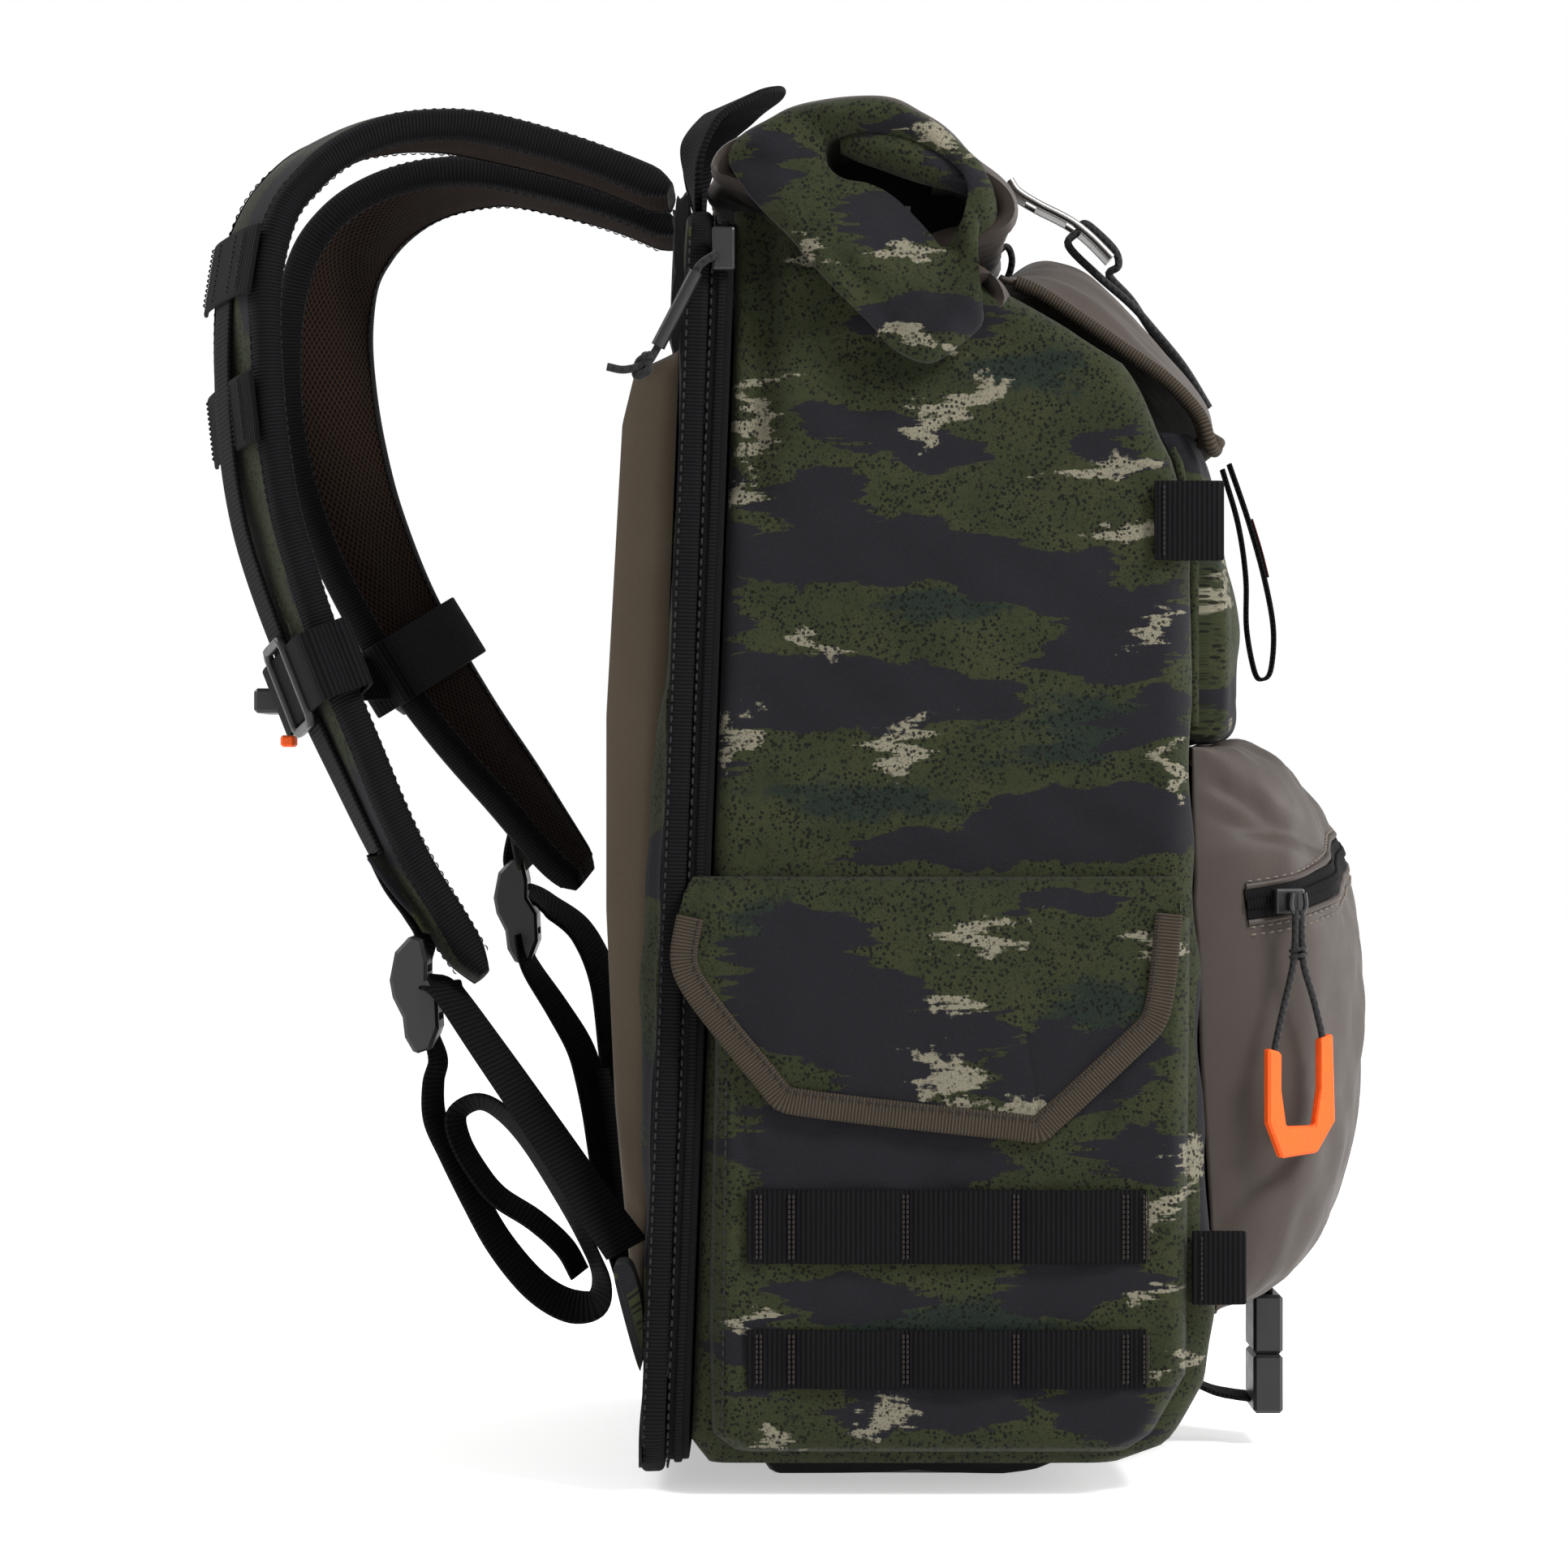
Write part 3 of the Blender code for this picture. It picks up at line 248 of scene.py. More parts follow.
def camouflage(name, charcoal=None, cream=None, teal=None):
    """Printed canvas: olive with dark speckle, charcoal bands with flame-like ends, and pale broken patches.

    Each list places one colour's patches. Without a list, noise places them.
    """
    nodes = Nodes(name, 0.9, sheen=0.04, specular=0.15)
    cloth = nodes.scaled(nodes.uv(), (1, 1, 1))
    streaks = nodes.noise(nodes.scaled(cloth, (0.012, 0.13, 1)), 1.0, 4.0, 0.6)
    waves = nodes.noise(cloth, 0.035, 3.0, 0.55)
    push_u = nodes.math("MULTIPLY", nodes.math("SUBTRACT", streaks, 0.5), 75.0)
    push_v = nodes.math("MULTIPLY", nodes.math("SUBTRACT", waves, 0.5), 22.0)
    push = nodes.node("CombineXYZ", {0: push_u, 1: push_v})
    moved = nodes.node("VectorMath", {0: cloth, 1: push}, operation="ADD")
    fray = nodes.math("SUBTRACT", nodes.noise(cloth, 0.22, 4.0, 0.65), 0.5)
    broad = nodes.noise(nodes.scaled(moved, (0.55, 1.5, 1)), 0.017, 1.0, 0.4)
    bands = nodes.math("MULTIPLY", nodes.math("SUBTRACT", broad, 0.53), 6.0)
    if charcoal:
        beyond = nodes.rise(nodes.node("SeparateXYZ", {0: cloth}), 141, 146)
        on_side = nodes.math("SUBTRACT", 1.0, beyond)
        bands = nodes.math("SUBTRACT", bands, nodes.math("MULTIPLY", on_side, 9.0))
        bands = nodes.math("MAXIMUM", bands, patches(nodes, moved, charcoal))
    band_edge = nodes.math("ADD", bands, nodes.math("MULTIPLY", fray, 0.22))
    in_band = nodes.rise(band_edge, -0.02, 0.03)
    if cream:
        pale = nodes.math("ADD", patches(nodes, moved, cream), nodes.math("MULTIPLY", fray, 2.4))
    else:
        thin = nodes.noise(nodes.scaled(moved, (0.7, 1.3, 7)), 0.024, 1.0, 0.4)
        thin = nodes.math("MULTIPLY", nodes.math("SUBTRACT", thin, 0.66), 7.0)
        pale = nodes.math("ADD", thin, nodes.math("MULTIPLY", fray, 1.6))
    in_pale = nodes.rise(pale, 0.05, 0.32)
    if teal:
        cool = nodes.math("ADD", patches(nodes, moved, teal), nodes.math("MULTIPLY", fray, 1.2))
    else:
        broad = nodes.noise(nodes.scaled(moved, (0.7, 1.2, 3)), 0.02, 1.0, 0.4)
        cool = nodes.math("MULTIPLY", nodes.math("SUBTRACT", broad, 0.60), 5.0)
    in_cool = nodes.rise(cool, -0.1, 0.5)
    drift = nodes.rise(nodes.noise(cloth, 0.05, 3.0, 0.6), 0.35, 0.7)
    ground = nodes.mix(nodes.math("MULTIPLY", drift, 0.55), OLIVE, DARK_OLIVE)
    ground = nodes.mix(nodes.math("MULTIPLY", in_cool, 0.85), ground, TEAL)
    ground = nodes.mix(in_band, ground, CHARCOAL)
    ground = nodes.mix(nodes.math("MULTIPLY", in_pale, 0.9), ground, CREAM)
    crowd = nodes.rise(nodes.noise(cloth, 0.08, 2.0, 0.5), 0.22, 0.52)
    dots = nodes.math("SUBTRACT", 1.0, nodes.rise(nodes.cells(cloth, 0.58), 0.29, 0.42))
    fine = nodes.math("SUBTRACT", 1.0, nodes.rise(nodes.cells(cloth, 0.95), 0.2, 0.36))
    both = nodes.math("MAXIMUM", dots, nodes.math("MULTIPLY", fine, 0.75))
    thinned = nodes.math("MULTIPLY", nodes.math("SUBTRACT", 1.0, in_pale), in_band)
    show = nodes.math("SUBTRACT", 0.9, nodes.math("MULTIPLY", thinned, 0.78))
    amount = nodes.math("MULTIPLY", nodes.math("MULTIPLY", both, crowd), show)
    printed = nodes.mix(amount, ground, SPECKLE)
    grain = nodes.noise(cloth, 1.5, 3.0, 0.75)
    value = nodes.math("ADD", nodes.math("MULTIPLY", grain, 1.5), 0.25)
    nodes.colour(nodes.node("HueSaturation", {"Value": value, "Color": printed}))
    weave = nodes.math("ADD", grain, nodes.math("MULTIPLY", nodes.noise(cloth, 0.5, 2.0, 0.5), 0.8))
    nodes.bump(weave, 0.22, 0.7)
    return nodes.material


def ribbed(name, dark, light, period=1.25, roughness=0.8, depth=0.35):
    """Webbing or grosgrain: ribs across the strip, whose length runs along U."""
    nodes = Nodes(name, roughness, specular=0.1)
    cloth = nodes.uv()
    ribs = nodes.wave(cloth, "X", period, 0.35)
    threads = nodes.noise(nodes.scaled(cloth, (0.7, 2.6, 1)), 1.0, 3.0, 0.6)
    tone = nodes.math("MULTIPLY", ribs, nodes.math("ADD", nodes.math("MULTIPLY", threads, 0.9), 0.45))
    wear = nodes.noise(cloth, 0.06, 3.0, 0.6)
    tone = nodes.math("MULTIPLY", tone, nodes.math("ADD", nodes.math("MULTIPLY", wear, 0.8), 0.6))
    nodes.colour(nodes.mix(tone, dark, light))
    nodes.bump(nodes.math("ADD", ribs, nodes.math("MULTIPLY", threads, 0.4)), depth, 0.8)
    return nodes.material


def coated_cloth(name, base, roughness=0.5):
    """Canvas under a smooth satin coating."""
    nodes = Nodes(name, roughness, sheen=0.02, specular=0.24)
    cloth = nodes.uv()
    drift = nodes.noise(cloth, 0.02, 4.0, 0.6)
    grain = nodes.noise(cloth, 1.8, 2.0, 0.6)
    darker = tuple(0.78 * part for part in base)
    share = nodes.math("ADD", nodes.math("MULTIPLY", drift, 0.8), nodes.math("MULTIPLY", grain, 0.2))
    nodes.colour(nodes.mix(share, darker, tuple(1.12 * part for part in base)))
    scuffs = nodes.noise(cloth, 0.11, 4.0, 0.6)
    nodes.rough(nodes.math("ADD", nodes.math("MULTIPLY", scuffs, 0.2), roughness - 0.1))
    crinkle = nodes.math("MULTIPLY", nodes.noise(cloth, 0.08, 3.0, 0.5), 2.0)
    nodes.bump(nodes.math("ADD", nodes.math("MULTIPLY", grain, 0.35), crinkle), 0.22, 0.8)
    return nodes.material


def brushed_foam(name):
    """Moulded foam with a short-napped tan face."""
    nodes = Nodes(name, 0.95, sheen=0.15, specular=0.1)
    place = nodes.place_in_mm()
    nap = nodes.noise(place, 1.4, 4.0, 0.7)
    drift = nodes.noise(place, 0.03, 3.0, 0.5)
    tone = nodes.math("ADD", nodes.math("MULTIPLY", nap, 0.6), nodes.math("MULTIPLY", drift, 0.4))
    nodes.colour(nodes.mix(tone, (0.052, 0.039, 0.0265), (0.112, 0.088, 0.063)))
    nodes.bump(nap, 0.25, 0.6)
    return nodes.material


def spacer_mesh(name):
    """Brown spacer mesh: a fine grid of round holes, every other row set over by half."""
    nodes = Nodes(name, 0.95, specular=0.05)
    turned = nodes.node("Mapping", {"Vector": nodes.uv(), "Rotation": (0, 0, math.radians(45))})
    holes = nodes.cells(turned, 0.42, 0.0)
    inside = nodes.math("SUBTRACT", 1.0, nodes.rise(holes, 0.26, 0.42))
    strands = nodes.noise(nodes.uv(), 1.5, 3.0, 0.6)
    body = nodes.mix(strands, (0.013, 0.0072, 0.0045), (0.038, 0.0215, 0.014))
    nodes.colour(nodes.mix(inside, body, (0.0035, 0.0025, 0.0025)))
    nodes.bump(nodes.math("SUBTRACT", strands, nodes.math("MULTIPLY", inside, 2.0)), 0.5, 0.8)
    return nodes.material


def moulded(name, base, roughness=0.35, pitch=0.0):
    """Moulded plastic or rubber, with faint flow marks; pitch adds a dotted grip texture."""
    nodes = Nodes(name, roughness, specular=0.5)
    place = nodes.place_in_mm()
    marks = nodes.noise(place, 0.25, 4.0, 0.6)
    darker = tuple(0.8 * part for part in base)
    lighter = tuple(min(1, 1.15 * part) for part in base)
    nodes.colour(nodes.mix(marks, darker, lighter))
    nodes.rough(nodes.math("ADD", nodes.math("MULTIPLY", marks, 0.25), roughness - 0.1))
    grain = nodes.noise(place, 1.6, 2.0, 0.6)
    if pitch:
        turned = nodes.node("Mapping", {"Vector": place, "Rotation": (0, math.radians(45), 0)})
        dots = nodes.rise(nodes.cells(turned, 1 / pitch, 0.0), 0.2, 0.5)
        grain = nodes.math("SUBTRACT", grain, nodes.math("MULTIPLY", dots, 1.4))
    nodes.bump(grain, 0.08, 0.6)
    return nodes.material


def braided(name, dark, light):
    """Round braid: two crossing sets of diagonal strands, U along the cord and V round it."""
    nodes = Nodes(name, 0.75, sheen=0.1, specular=0.3)
    crossing = []
    for lean in (38, -38):
        turned = nodes.node("Mapping", {"Vector": nodes.uv(), "Rotation": (0, 0, math.radians(lean))})
        crossing.append(nodes.wave(turned, "X", period=2.4))
    strands = nodes.math("MAXIMUM", *crossing)
    nodes.colour(nodes.mix(strands, dark, light))
    nodes.bump(strands, 0.3, 0.9)
    return nodes.material


def brushed_metal(name):
    """Bare metal with fine brushing marks along X and Z."""
    nodes = Nodes(name, 0.32, metallic=1.0)
    place = nodes.place_in_mm()
    lines = nodes.noise(nodes.scaled(place, (0.15, 3.0, 0.15)), 1.0, 4.0, 0.7)
    nodes.colour(nodes.mix(lines, (0.22, 0.215, 0.21), (0.42, 0.41, 0.40)))
    nodes.rough(nodes.math("ADD", nodes.math("MULTIPLY", lines, 0.25), 0.2))
    nodes.bump(lines, 0.03, 0.5)
    return nodes.material


# Patches of the side's print: where each is along X and Z, its half width and height, and its lean.
SIDE_CHARCOAL = [
    (38, 366, 34, 9, -14), (12, 344, 20, 11, 0), (28, 326, 50, 12, 3), (112, 361, 12, 7, -20),
    (84, 316, 38, 11, -7), (118, 297, 30, 15, 22), (20, 277, 62, 13, -4), (108, 232, 52, 12, 3),
    (52, 222, 34, 7, 0), (8, 176, 30, 28, -24), (36, 157, 26, 20, -46), (66, 160, 16, 8, 10),
    (100, 148, 34, 15, 14), (30, 118, 50, 22, -6), (118, 118, 16, 10, 0), (24, 68, 26, 9, 0),
    (100, 72, 30, 9, 6), (-6, 48, 14, 14, 0), (52, 32, 34, 10, 4), (112, 30, 22, 10, -20),
    (124, 268, 18, 9, 30), (96, 206, 20, 5, 0), (-24, 300, 10, 60, 0), (-6, 460, 11, 12, -30),
    (34, 440, 19, 11, -20), (59, 457, 13, 6, -20), (43, 472, 6, 4, 0), (52, 407, 26, 8, 5),
]
SIDE_CREAM = [
    (62, 378, 16, 7, 28), (50, 368, 9, 6, 30), (-12, 372, 7, 17, -8), (-16, 346, 8, 6, 0),
    (108, 356, 16, 4, 6), (-18, 262, 9, 12, -30), (40, 258, 17, 6, 36), (14, 294, 8, 4, -40),
    (116, 330, 12, 4, 8), (126, 300, 10, 4, 50), (70, 194, 14, 6, 25), (60, 170, 10, 4, 6),
    (124, 188, 6, 9, 80), (56, 145, 11, 10, 60), (76, 136, 16, 4, 8), (138, 116, 8, 12, 60),
    (130, 100, 12, 6, 40), (34, 28, 8, 6, 0), (-14, 60, 9, 4, -35), (134, 46, 9, 5, 30),
    (-4, 20, 8, 5, 0), (128, 70, 8, 5, 30), (136, 250, 5, 10, 0), (9, 430, 7, 4, -40),
    (43, 427, 9, 4, 0), (55, 470, 9, 5, -30), (44, 398, 11, 4, -10),
]
SIDE_TEAL = [
    (84, 388, 26, 10, 0), (30, 240, 40, 8, 0), (112, 268, 30, 9, 0), (108, 170, 22, 10, 0),
    (-4, 198, 18, 10, 0), (50, 306, 30, 7, 0), (60, 60, 40, 8, 0), (98, 258, 24, 8, 10),
]

CAMO_SIDE = camouflage("camo_side", SIDE_CHARCOAL, SIDE_CREAM, SIDE_TEAL)
CAMO = camouflage("camo_loose")
COATED = coated_cloth("coated_taupe", (0.047, 0.0360, 0.0298), 0.54)
TAUPE = ribbed("taupe_grosgrain", (0.020, 0.016, 0.011), (0.060, 0.048, 0.036), 1.15, 0.85, 0.3)
BLACK_WEB = ribbed("black_webbing", (0.0007, 0.0007, 0.0009), (0.0056, 0.0056, 0.0068), 1.7)
BLACK_BIND = ribbed("black_grosgrain", (0.0008, 0.0008, 0.001), (0.0066, 0.0066, 0.0078), 1.3)
ZIP_CLOTH = ribbed("zip_tape", (0.0012, 0.0012, 0.0015), (0.004, 0.004, 0.0048), 0.8, 0.75, 0.15)
FOAM = brushed_foam("foam_face")
MESH = spacer_mesh("spacer_mesh")
PLASTIC = moulded("black_plastic", (0.0045, 0.0045, 0.0052), 0.38)
SHEET_PLASTIC = moulded("stiff_plastic", (0.05, 0.05, 0.055), 0.5)
ORANGE = moulded("orange_rubber", (1.0, 0.1, 0.002), 0.7, pitch=1.1)
CORD = braided("black_cord", (0.001, 0.001, 0.001), (0.009, 0.009, 0.0105))
METAL = brushed_metal("hook_metal")
BLACK_CLOTH = coated_cloth("black_cloth", (0.004, 0.004, 0.0046), 0.7)
DARK_THREAD = moulded("dark_thread", (0.006, 0.006, 0.006), 0.85)
TAUPE_THREAD = moulded("taupe_thread", (0.13, 0.107, 0.085), 0.8)
BROWN_THREAD = moulded("brown_thread", (0.014, 0.009, 0.007), 0.85)
RED_CLOTH = ribbed("dark_red_webbing", (0.012, 0.003, 0.002), (0.06, 0.010, 0.007), 1.2)

for node, material in (
    ("closure_hook", METAL), ("back_zip_slider", PLASTIC), ("front_zip_slider", PLASTIC),
    ("bottom_buckle_socket", PLASTIC), ("bottom_buckle_plug", PLASTIC), ("ladder_lock_left", PLASTIC),
    ("ladder_lock_right", PLASTIC), ("sternum_buckle_socket", PLASTIC), ("sternum_buckle_plug", PLASTIC),
    ("front_pull_grip", ORANGE), ("sternum_whistle", ORANGE), ("frame_sheet", SHEET_PLASTIC),
    ("roll_top_stiffener", SHEET_PLASTIC),
):
    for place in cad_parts[node].material_slots:
        place.material = material


# ---------------------------------------------------------------- curves and noise


def array(points):
    """Points, one in each row, ready for sums."""
    return np.array(points, float)


def unit(vectors):
    """Each vector scaled to length one."""
    return vectors / np.maximum(np.linalg.norm(vectors, axis=-1, keepdims=True), 1e-9)


def lengths(points):
    """Distance along a path at each of its points."""
    return np.concatenate([[0], np.cumsum(np.linalg.norm(np.diff(points, axis=0), axis=1))])


def smooth(points, per_span=6, closed=False):
    """Points along a Catmull-Rom curve through the given ones."""
    points = array(points)
    if closed:
        ends = np.concatenate([points[-1:], points, points[:2]])
    else:
        ends = np.concatenate([2 * points[:1] - points[1:2], points, 2 * points[-1:] - points[-2:-1]])
    t = (np.arange(per_span) / per_span)[:, None]
    found = []
    for a, b, c, d in zip(ends, ends[1:], ends[2:], ends[3:]):
        square = 2 * a - 5 * b + 4 * c - d
        cube = 3 * b - a - 3 * c + d
        found.append(0.5 * (2 * b + (c - a) * t + square * t**2 + cube * t**3))
    if not closed:
        found.append(points[-1:])
    return np.concatenate(found)


def even(points, count):
    """The same path with count points, evenly spaced."""
    points = array(points)
    at = lengths(points)
    new = np.linspace(0, at[-1], count)
    return np.stack([np.interp(new, at, points[:, k]) for k in range(points.shape[1])], axis=1)


def between(x, table):
    """The second column of a table at x in its first."""
    table = array(table)
    return np.interp(x, table[:, 0], table[:, 1])


RIPPLE_WAVES = 9


def ripple(points, wavelength, seed):
    """Smooth seeded noise from about -1 to 1: waves in several directions, added."""
    points = array(points)
    random = np.random.default_rng(seed)
    total = np.zeros(points.shape[:-1])
    for _ in range(RIPPLE_WAVES):
        way = unit(random.normal(size=points.shape[-1]))
        turns = 2 * math.pi / (wavelength * random.uniform(0.7, 1.6))
        total += np.sin(points @ way * turns + random.uniform(0, 2 * math.pi))
    return total / RIPPLE_WAVES**0.5


def ramp(value, start, reach):
    """0 up to start, 1 from start + reach on, and a straight rise between them."""
    return np.clip((value - start) / reach, 0, 1)


def ridge(value, middle, width):
    """A bell of height 1 round a middle."""
    return np.exp(-(((value - middle) / width) ** 2))


def back_x(depth, height):
    """X of a point some depth in front of the leaning back, at a height."""
    return BACK_X_AT_FLOOR + BACK_LEAN * height + depth


# ---------------------------------------------------------------- mesh builders


def surface(grid, uv=None, wrap=False, caps=False, paint=None):
    """A mesh through a grid of points, (rows, columns, 3). wrap joins each row's end to its start.

    uv has one more column than the grid where it wraps. paint holds a material number for each face.
    """
    grid = array(grid)
    rows, columns = grid.shape[:2]
    if uv is None:
        closed = np.concatenate([grid, grid[:, :1]], axis=1) if wrap else grid
        along = lengths(grid.mean(axis=1)) if wrap else lengths(grid[:, columns // 2])
        around = np.array([lengths(row) for row in closed])
        uv = np.stack([np.broadcast_to(along[:, None], around.shape), around], axis=-1)
    across = columns if wrap else columns - 1
    i, j = np.meshgrid(np.arange(rows - 1), np.arange(across), indexing="ij")
    i, j = i.reshape(-1), j.reshape(-1)
    corners = [(i, j), (i, j + 1), (i + 1, j + 1), (i + 1, j)]
    faces = np.stack([a * columns + b % columns for a, b in corners], axis=1)
    places = np.stack([uv[a, b] for a, b in corners], axis=1).reshape(-1, 2)
    faces = faces.tolist()
    if caps:
        for row in (0, rows - 1):
            faces.append([row * columns + k for k in range(columns)])
            places = np.concatenate([places, uv[row, :columns]])
    mesh = bpy.data.meshes.new("mesh")
    mesh.from_pydata((grid.reshape(-1, 3) * MM).tolist(), [], faces)
    layer = mesh.uv_layers.new(name="cloth")
    layer.data.foreach_set("uv", places.astype(np.float32).reshape(-1))
    if paint is not None:
        numbers = np.zeros(len(faces), np.int32)
        numbers[: len(i)] = np.broadcast_to(paint, (rows - 1, across)).reshape(-1)
        mesh.polygons.foreach_set("material_index", numbers)
    work = bmesh.new()
    work.from_mesh(mesh)
    bmesh.ops.recalc_face_normals(work, faces=work.faces)
    work.to_mesh(mesh)
    work.free()
    return mesh


def piece(
    name, mesh, materials, body="root", replaces=(), thickness=0.0, offset=-1.0, sharp=40.0
):
    """An object that rides on a body and stands for CAD nodes."""
    obj = bpy.data.objects.new(name, mesh)
    bpy.context.scene.collection.objects.link(obj)
    mesh.name = name
    for material in materials if isinstance(materials, (list, tuple)) else [materials]:
        mesh.materials.append(material)
    mesh.shade_smooth()
    mesh.set_sharp_from_angle(angle=math.radians(sharp))
    if thickness:
        solidify = obj.modifiers.new("thickness", "SOLIDIFY")
        solidify.thickness = thickness * MM
        solidify.offset = offset
    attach(obj, body)
    if replaces:
        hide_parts(*([replaces] if isinstance(replaces, str) else replaces))
    return obj


def rounded(width, thick, radius, steps=3):
    """A closed section of (across, out) points: a rectangle with round corners."""
    radius = min(radius, width / 2 - 0.01, thick / 2 - 0.01)
    spans = 4
    loop = []
    for corner, (sx, sy) in enumerate(((1, 1), (-1, 1), (-1, -1), (1, -1))):
        for step in range(steps + 1):
            angle = math.radians(90 * corner + 90 * step / steps)
            x = sx * (width / 2 - radius) + radius * math.cos(angle)
            loop.append((x, sy * (thick / 2 - radius) + radius * math.sin(angle)))
        if corner % 2 == 0:
            start, end = loop[-1], (-loop[-1][0], loop[-1][1])
            loop += [tuple(np.add(start, np.subtract(end, start) * k / spans)) for k in range(1, spans)]
    return array(loop)


def sweep(path, across, sections, closed=False):
    """A mesh from a section of (across, out) points carried along a path."""
    path, across = array(path), unit(array(across))
    if across.ndim == 1:
        across = np.broadcast_to(across, path.shape)
    if closed:
        ends = np.concatenate([path[-1:], path, path[:1]])
        tangent = unit(ends[2:] - ends[:-2])
    else:
        tangent = unit(np.gradient(path, axis=0))
    across = unit(across - tangent * (across * tangent).sum(1, keepdims=True))
    out = np.cross(tangent, across)
    sections = array(sections)
    if sections.ndim == 2:
        sections = np.broadcast_to(sections, (len(path), *sections.shape))
    grid = path[:, None] + across[:, None] * sections[..., :1] + out[:, None] * sections[..., 1:]
    if closed:
        grid = np.concatenate([grid, grid[:1]])
    mesh = surface(grid, wrap=True, caps=not closed)
    if closed:
        weld(mesh)
    return mesh


def weld(mesh, within=0.02):
    """Join points that lie together, and turn every face outward."""
    work = bmesh.new()
    work.from_mesh(mesh)
    bmesh.ops.remove_doubles(work, verts=work.verts, dist=within * MM)
    bmesh.ops.recalc_face_normals(work, faces=work.faces)
    work.to_mesh(mesh)
    work.free()


def strip(
    name, path, across, width, material=BLACK_WEB, thick=WEBBING, body="root", replaces=(),
):
    """Flat webbing along a path; width may change along it."""
    path = array(path)
    widths = np.broadcast_to(array(width), (len(path),))
    sections = np.array([rounded(w, thick, thick * 0.48) for w in widths])
    return piece(name, sweep(path, across, sections), material, body, replaces)


def leaning(path, degrees):
    """Directions across a strip, one for each point: along Y, turned by degrees about the path."""
    tangent = unit(np.gradient(path, axis=0))
    lean = np.radians(degrees)[:, None]
    return array((0, 1.0, 0)) * np.cos(lean) + np.cross(tangent, (0, 1.0, 0)) * np.sin(lean)


def circle(radius, steps):
    """Points evenly round a circle, in order."""
    turns = np.arange(steps) * 2 * math.pi / steps
    return radius * np.stack([np.cos(turns), np.sin(turns)], axis=1)


def tube(name, path, radius, material, body="root", replaces=(), steps=10):
    """A round cord; radius may change along it."""
    path = array(path)
    tangent = unit(np.gradient(path, axis=0))
    side = unit(np.cross(tangent[0], (0.31, 0.2, 0.93)))
    across = []
    for way in tangent:
        side = unit(side - way * side.dot(way))
        across.append(side)
    radii = np.broadcast_to(array(radius), (len(path),))
    sections = circle(1, steps)[None] * radii[:, None, None]
    return piece(name, sweep(path, across, sections), material, body, replaces)


def declare_cord(cord, line, diameter, **facts):
    """Work out the length of a cord's path and drop it; the facts are not stated anywhere. Its path is in
    millimetres; its diameter, in millimetres, is not used.
    """
    round(lengths(line)[-1] * MM, 4)


STITCHES = {}


def stitch(path, out, material, body="root", spacing=3.4, length=2.3, radius=0.38, lift=0.15):
    """Thread showing along a seam. All of one thread's stitches on a body become one piece at the end."""
    path = array(path)
    out = unit(np.broadcast_to(array(out), path.shape))
    at = lengths(path)
    count = max(1, int(at[-1] / spacing))
    middles = (np.arange(count) + 0.5) * at[-1] / count
    start, end = (
        np.stack([np.interp(middles + shift, at, path[:, k]) for k in range(3)], axis=1)
        for shift in (-length / 2, length / 2)
    )
    up = unit(np.stack([np.interp(middles, at, out[:, k]) for k in range(3)], axis=1))
    sewn = STITCHES.setdefault((material.name, body), [])
    sewn.extend((*ends, radius, lift) for ends in zip(start, end, up))


def sew():
    """Build every stitch as a small sunk-ended capsule: five rings of six points."""
    rise = np.array([-0.6, 0.55, 0.9, 0.55, -0.6])
    turns = np.arange(6) * math.pi / 3
    for (thread, body), found in STITCHES.items():
        points, faces = [], []
        for start, end, up, radius, lift in found:
            side = unit(np.cross(end - start, up))
            first = len(points)
            for part, share in zip(np.linspace(0, 1, 5), rise):
                centre = start + (end - start) * part + up * (lift + radius * share)
                thick = radius * (0.6 if part in (0, 1) else 1)
                points += [centre + thick * (side * math.cos(t) + up * math.sin(t)) for t in turns]
            for ring in range(4):
                for k in range(6):
                    a, b = first + ring * 6 + k, first + ring * 6 + (k + 1) % 6
                    faces.append((a, b, b + 6, a + 6))
            faces += [[first + k for k in range(6)][::-1], [first + 24 + k for k in range(6)]]
        mesh = bpy.data.meshes.new("stitches")
        mesh.from_pydata((array(points) * MM).tolist(), [], faces)
        weld(mesh, 0.0001)
        piece(f"stitches_{thread}_{body}", mesh, bpy.data.materials[thread], body)


# ---------------------------------------------------------------- main bag and roll top

BAG_FRONT = [
    (10, 118), (16, 133), (38, 147.3), (62, 150.1), (151, 144.5), (241, 141.7), (334, 141.7), (359, 136.1),
    (392, 119.2), (405, 100), (418, 76), (446, 30),
]
BAG_BACK = [(10, -26), (18, -31.7), (340, -19.4), (405, -16.9), (446, -17)]
BAG_SIDE = [(10, 131), (20, 138), (385, 138), (418, 134), (446, 126)]


def rectangle(low_x, high_x, half_width, back_radius, front_radius):
    """A closed (x, y) loop with rounded corners, from the middle of the near side towards the front."""
    along, turn, across = 34, 7, 26
    quarter = np.linspace(0, math.pi / 2, turn)
    front = low_x + (high_x - low_x) / 2
    half = [(x, -half_width) for x in np.linspace(front, high_x - front_radius, along // 2)[:-1]]
    for angle in quarter:
        x = high_x - front_radius + front_radius * math.sin(angle)
        half.append((x, -half_width + front_radius - front_radius * math.cos(angle)))
    half += [(high_x, y) for y in np.linspace(-half_width + front_radius, 0, across // 2)[1:]]
    rest = [(low_x, y) for y in np.linspace(0, -half_width + back_radius, across // 2)[:-1]]
    for angle in quarter:
        x = low_x + back_radius - back_radius * math.cos(angle)
        rest.append((x, -half_width + back_radius - back_radius * math.sin(angle)))
    rest += [(x, -half_width) for x in np.linspace(low_x + back_radius, front, along // 2)[1:-1]]
    far = [(x, -y) for x, y in reversed(half[:-1])] + [(x, -y) for x, y in reversed(rest[1:])]
    return array(half + far + rest)


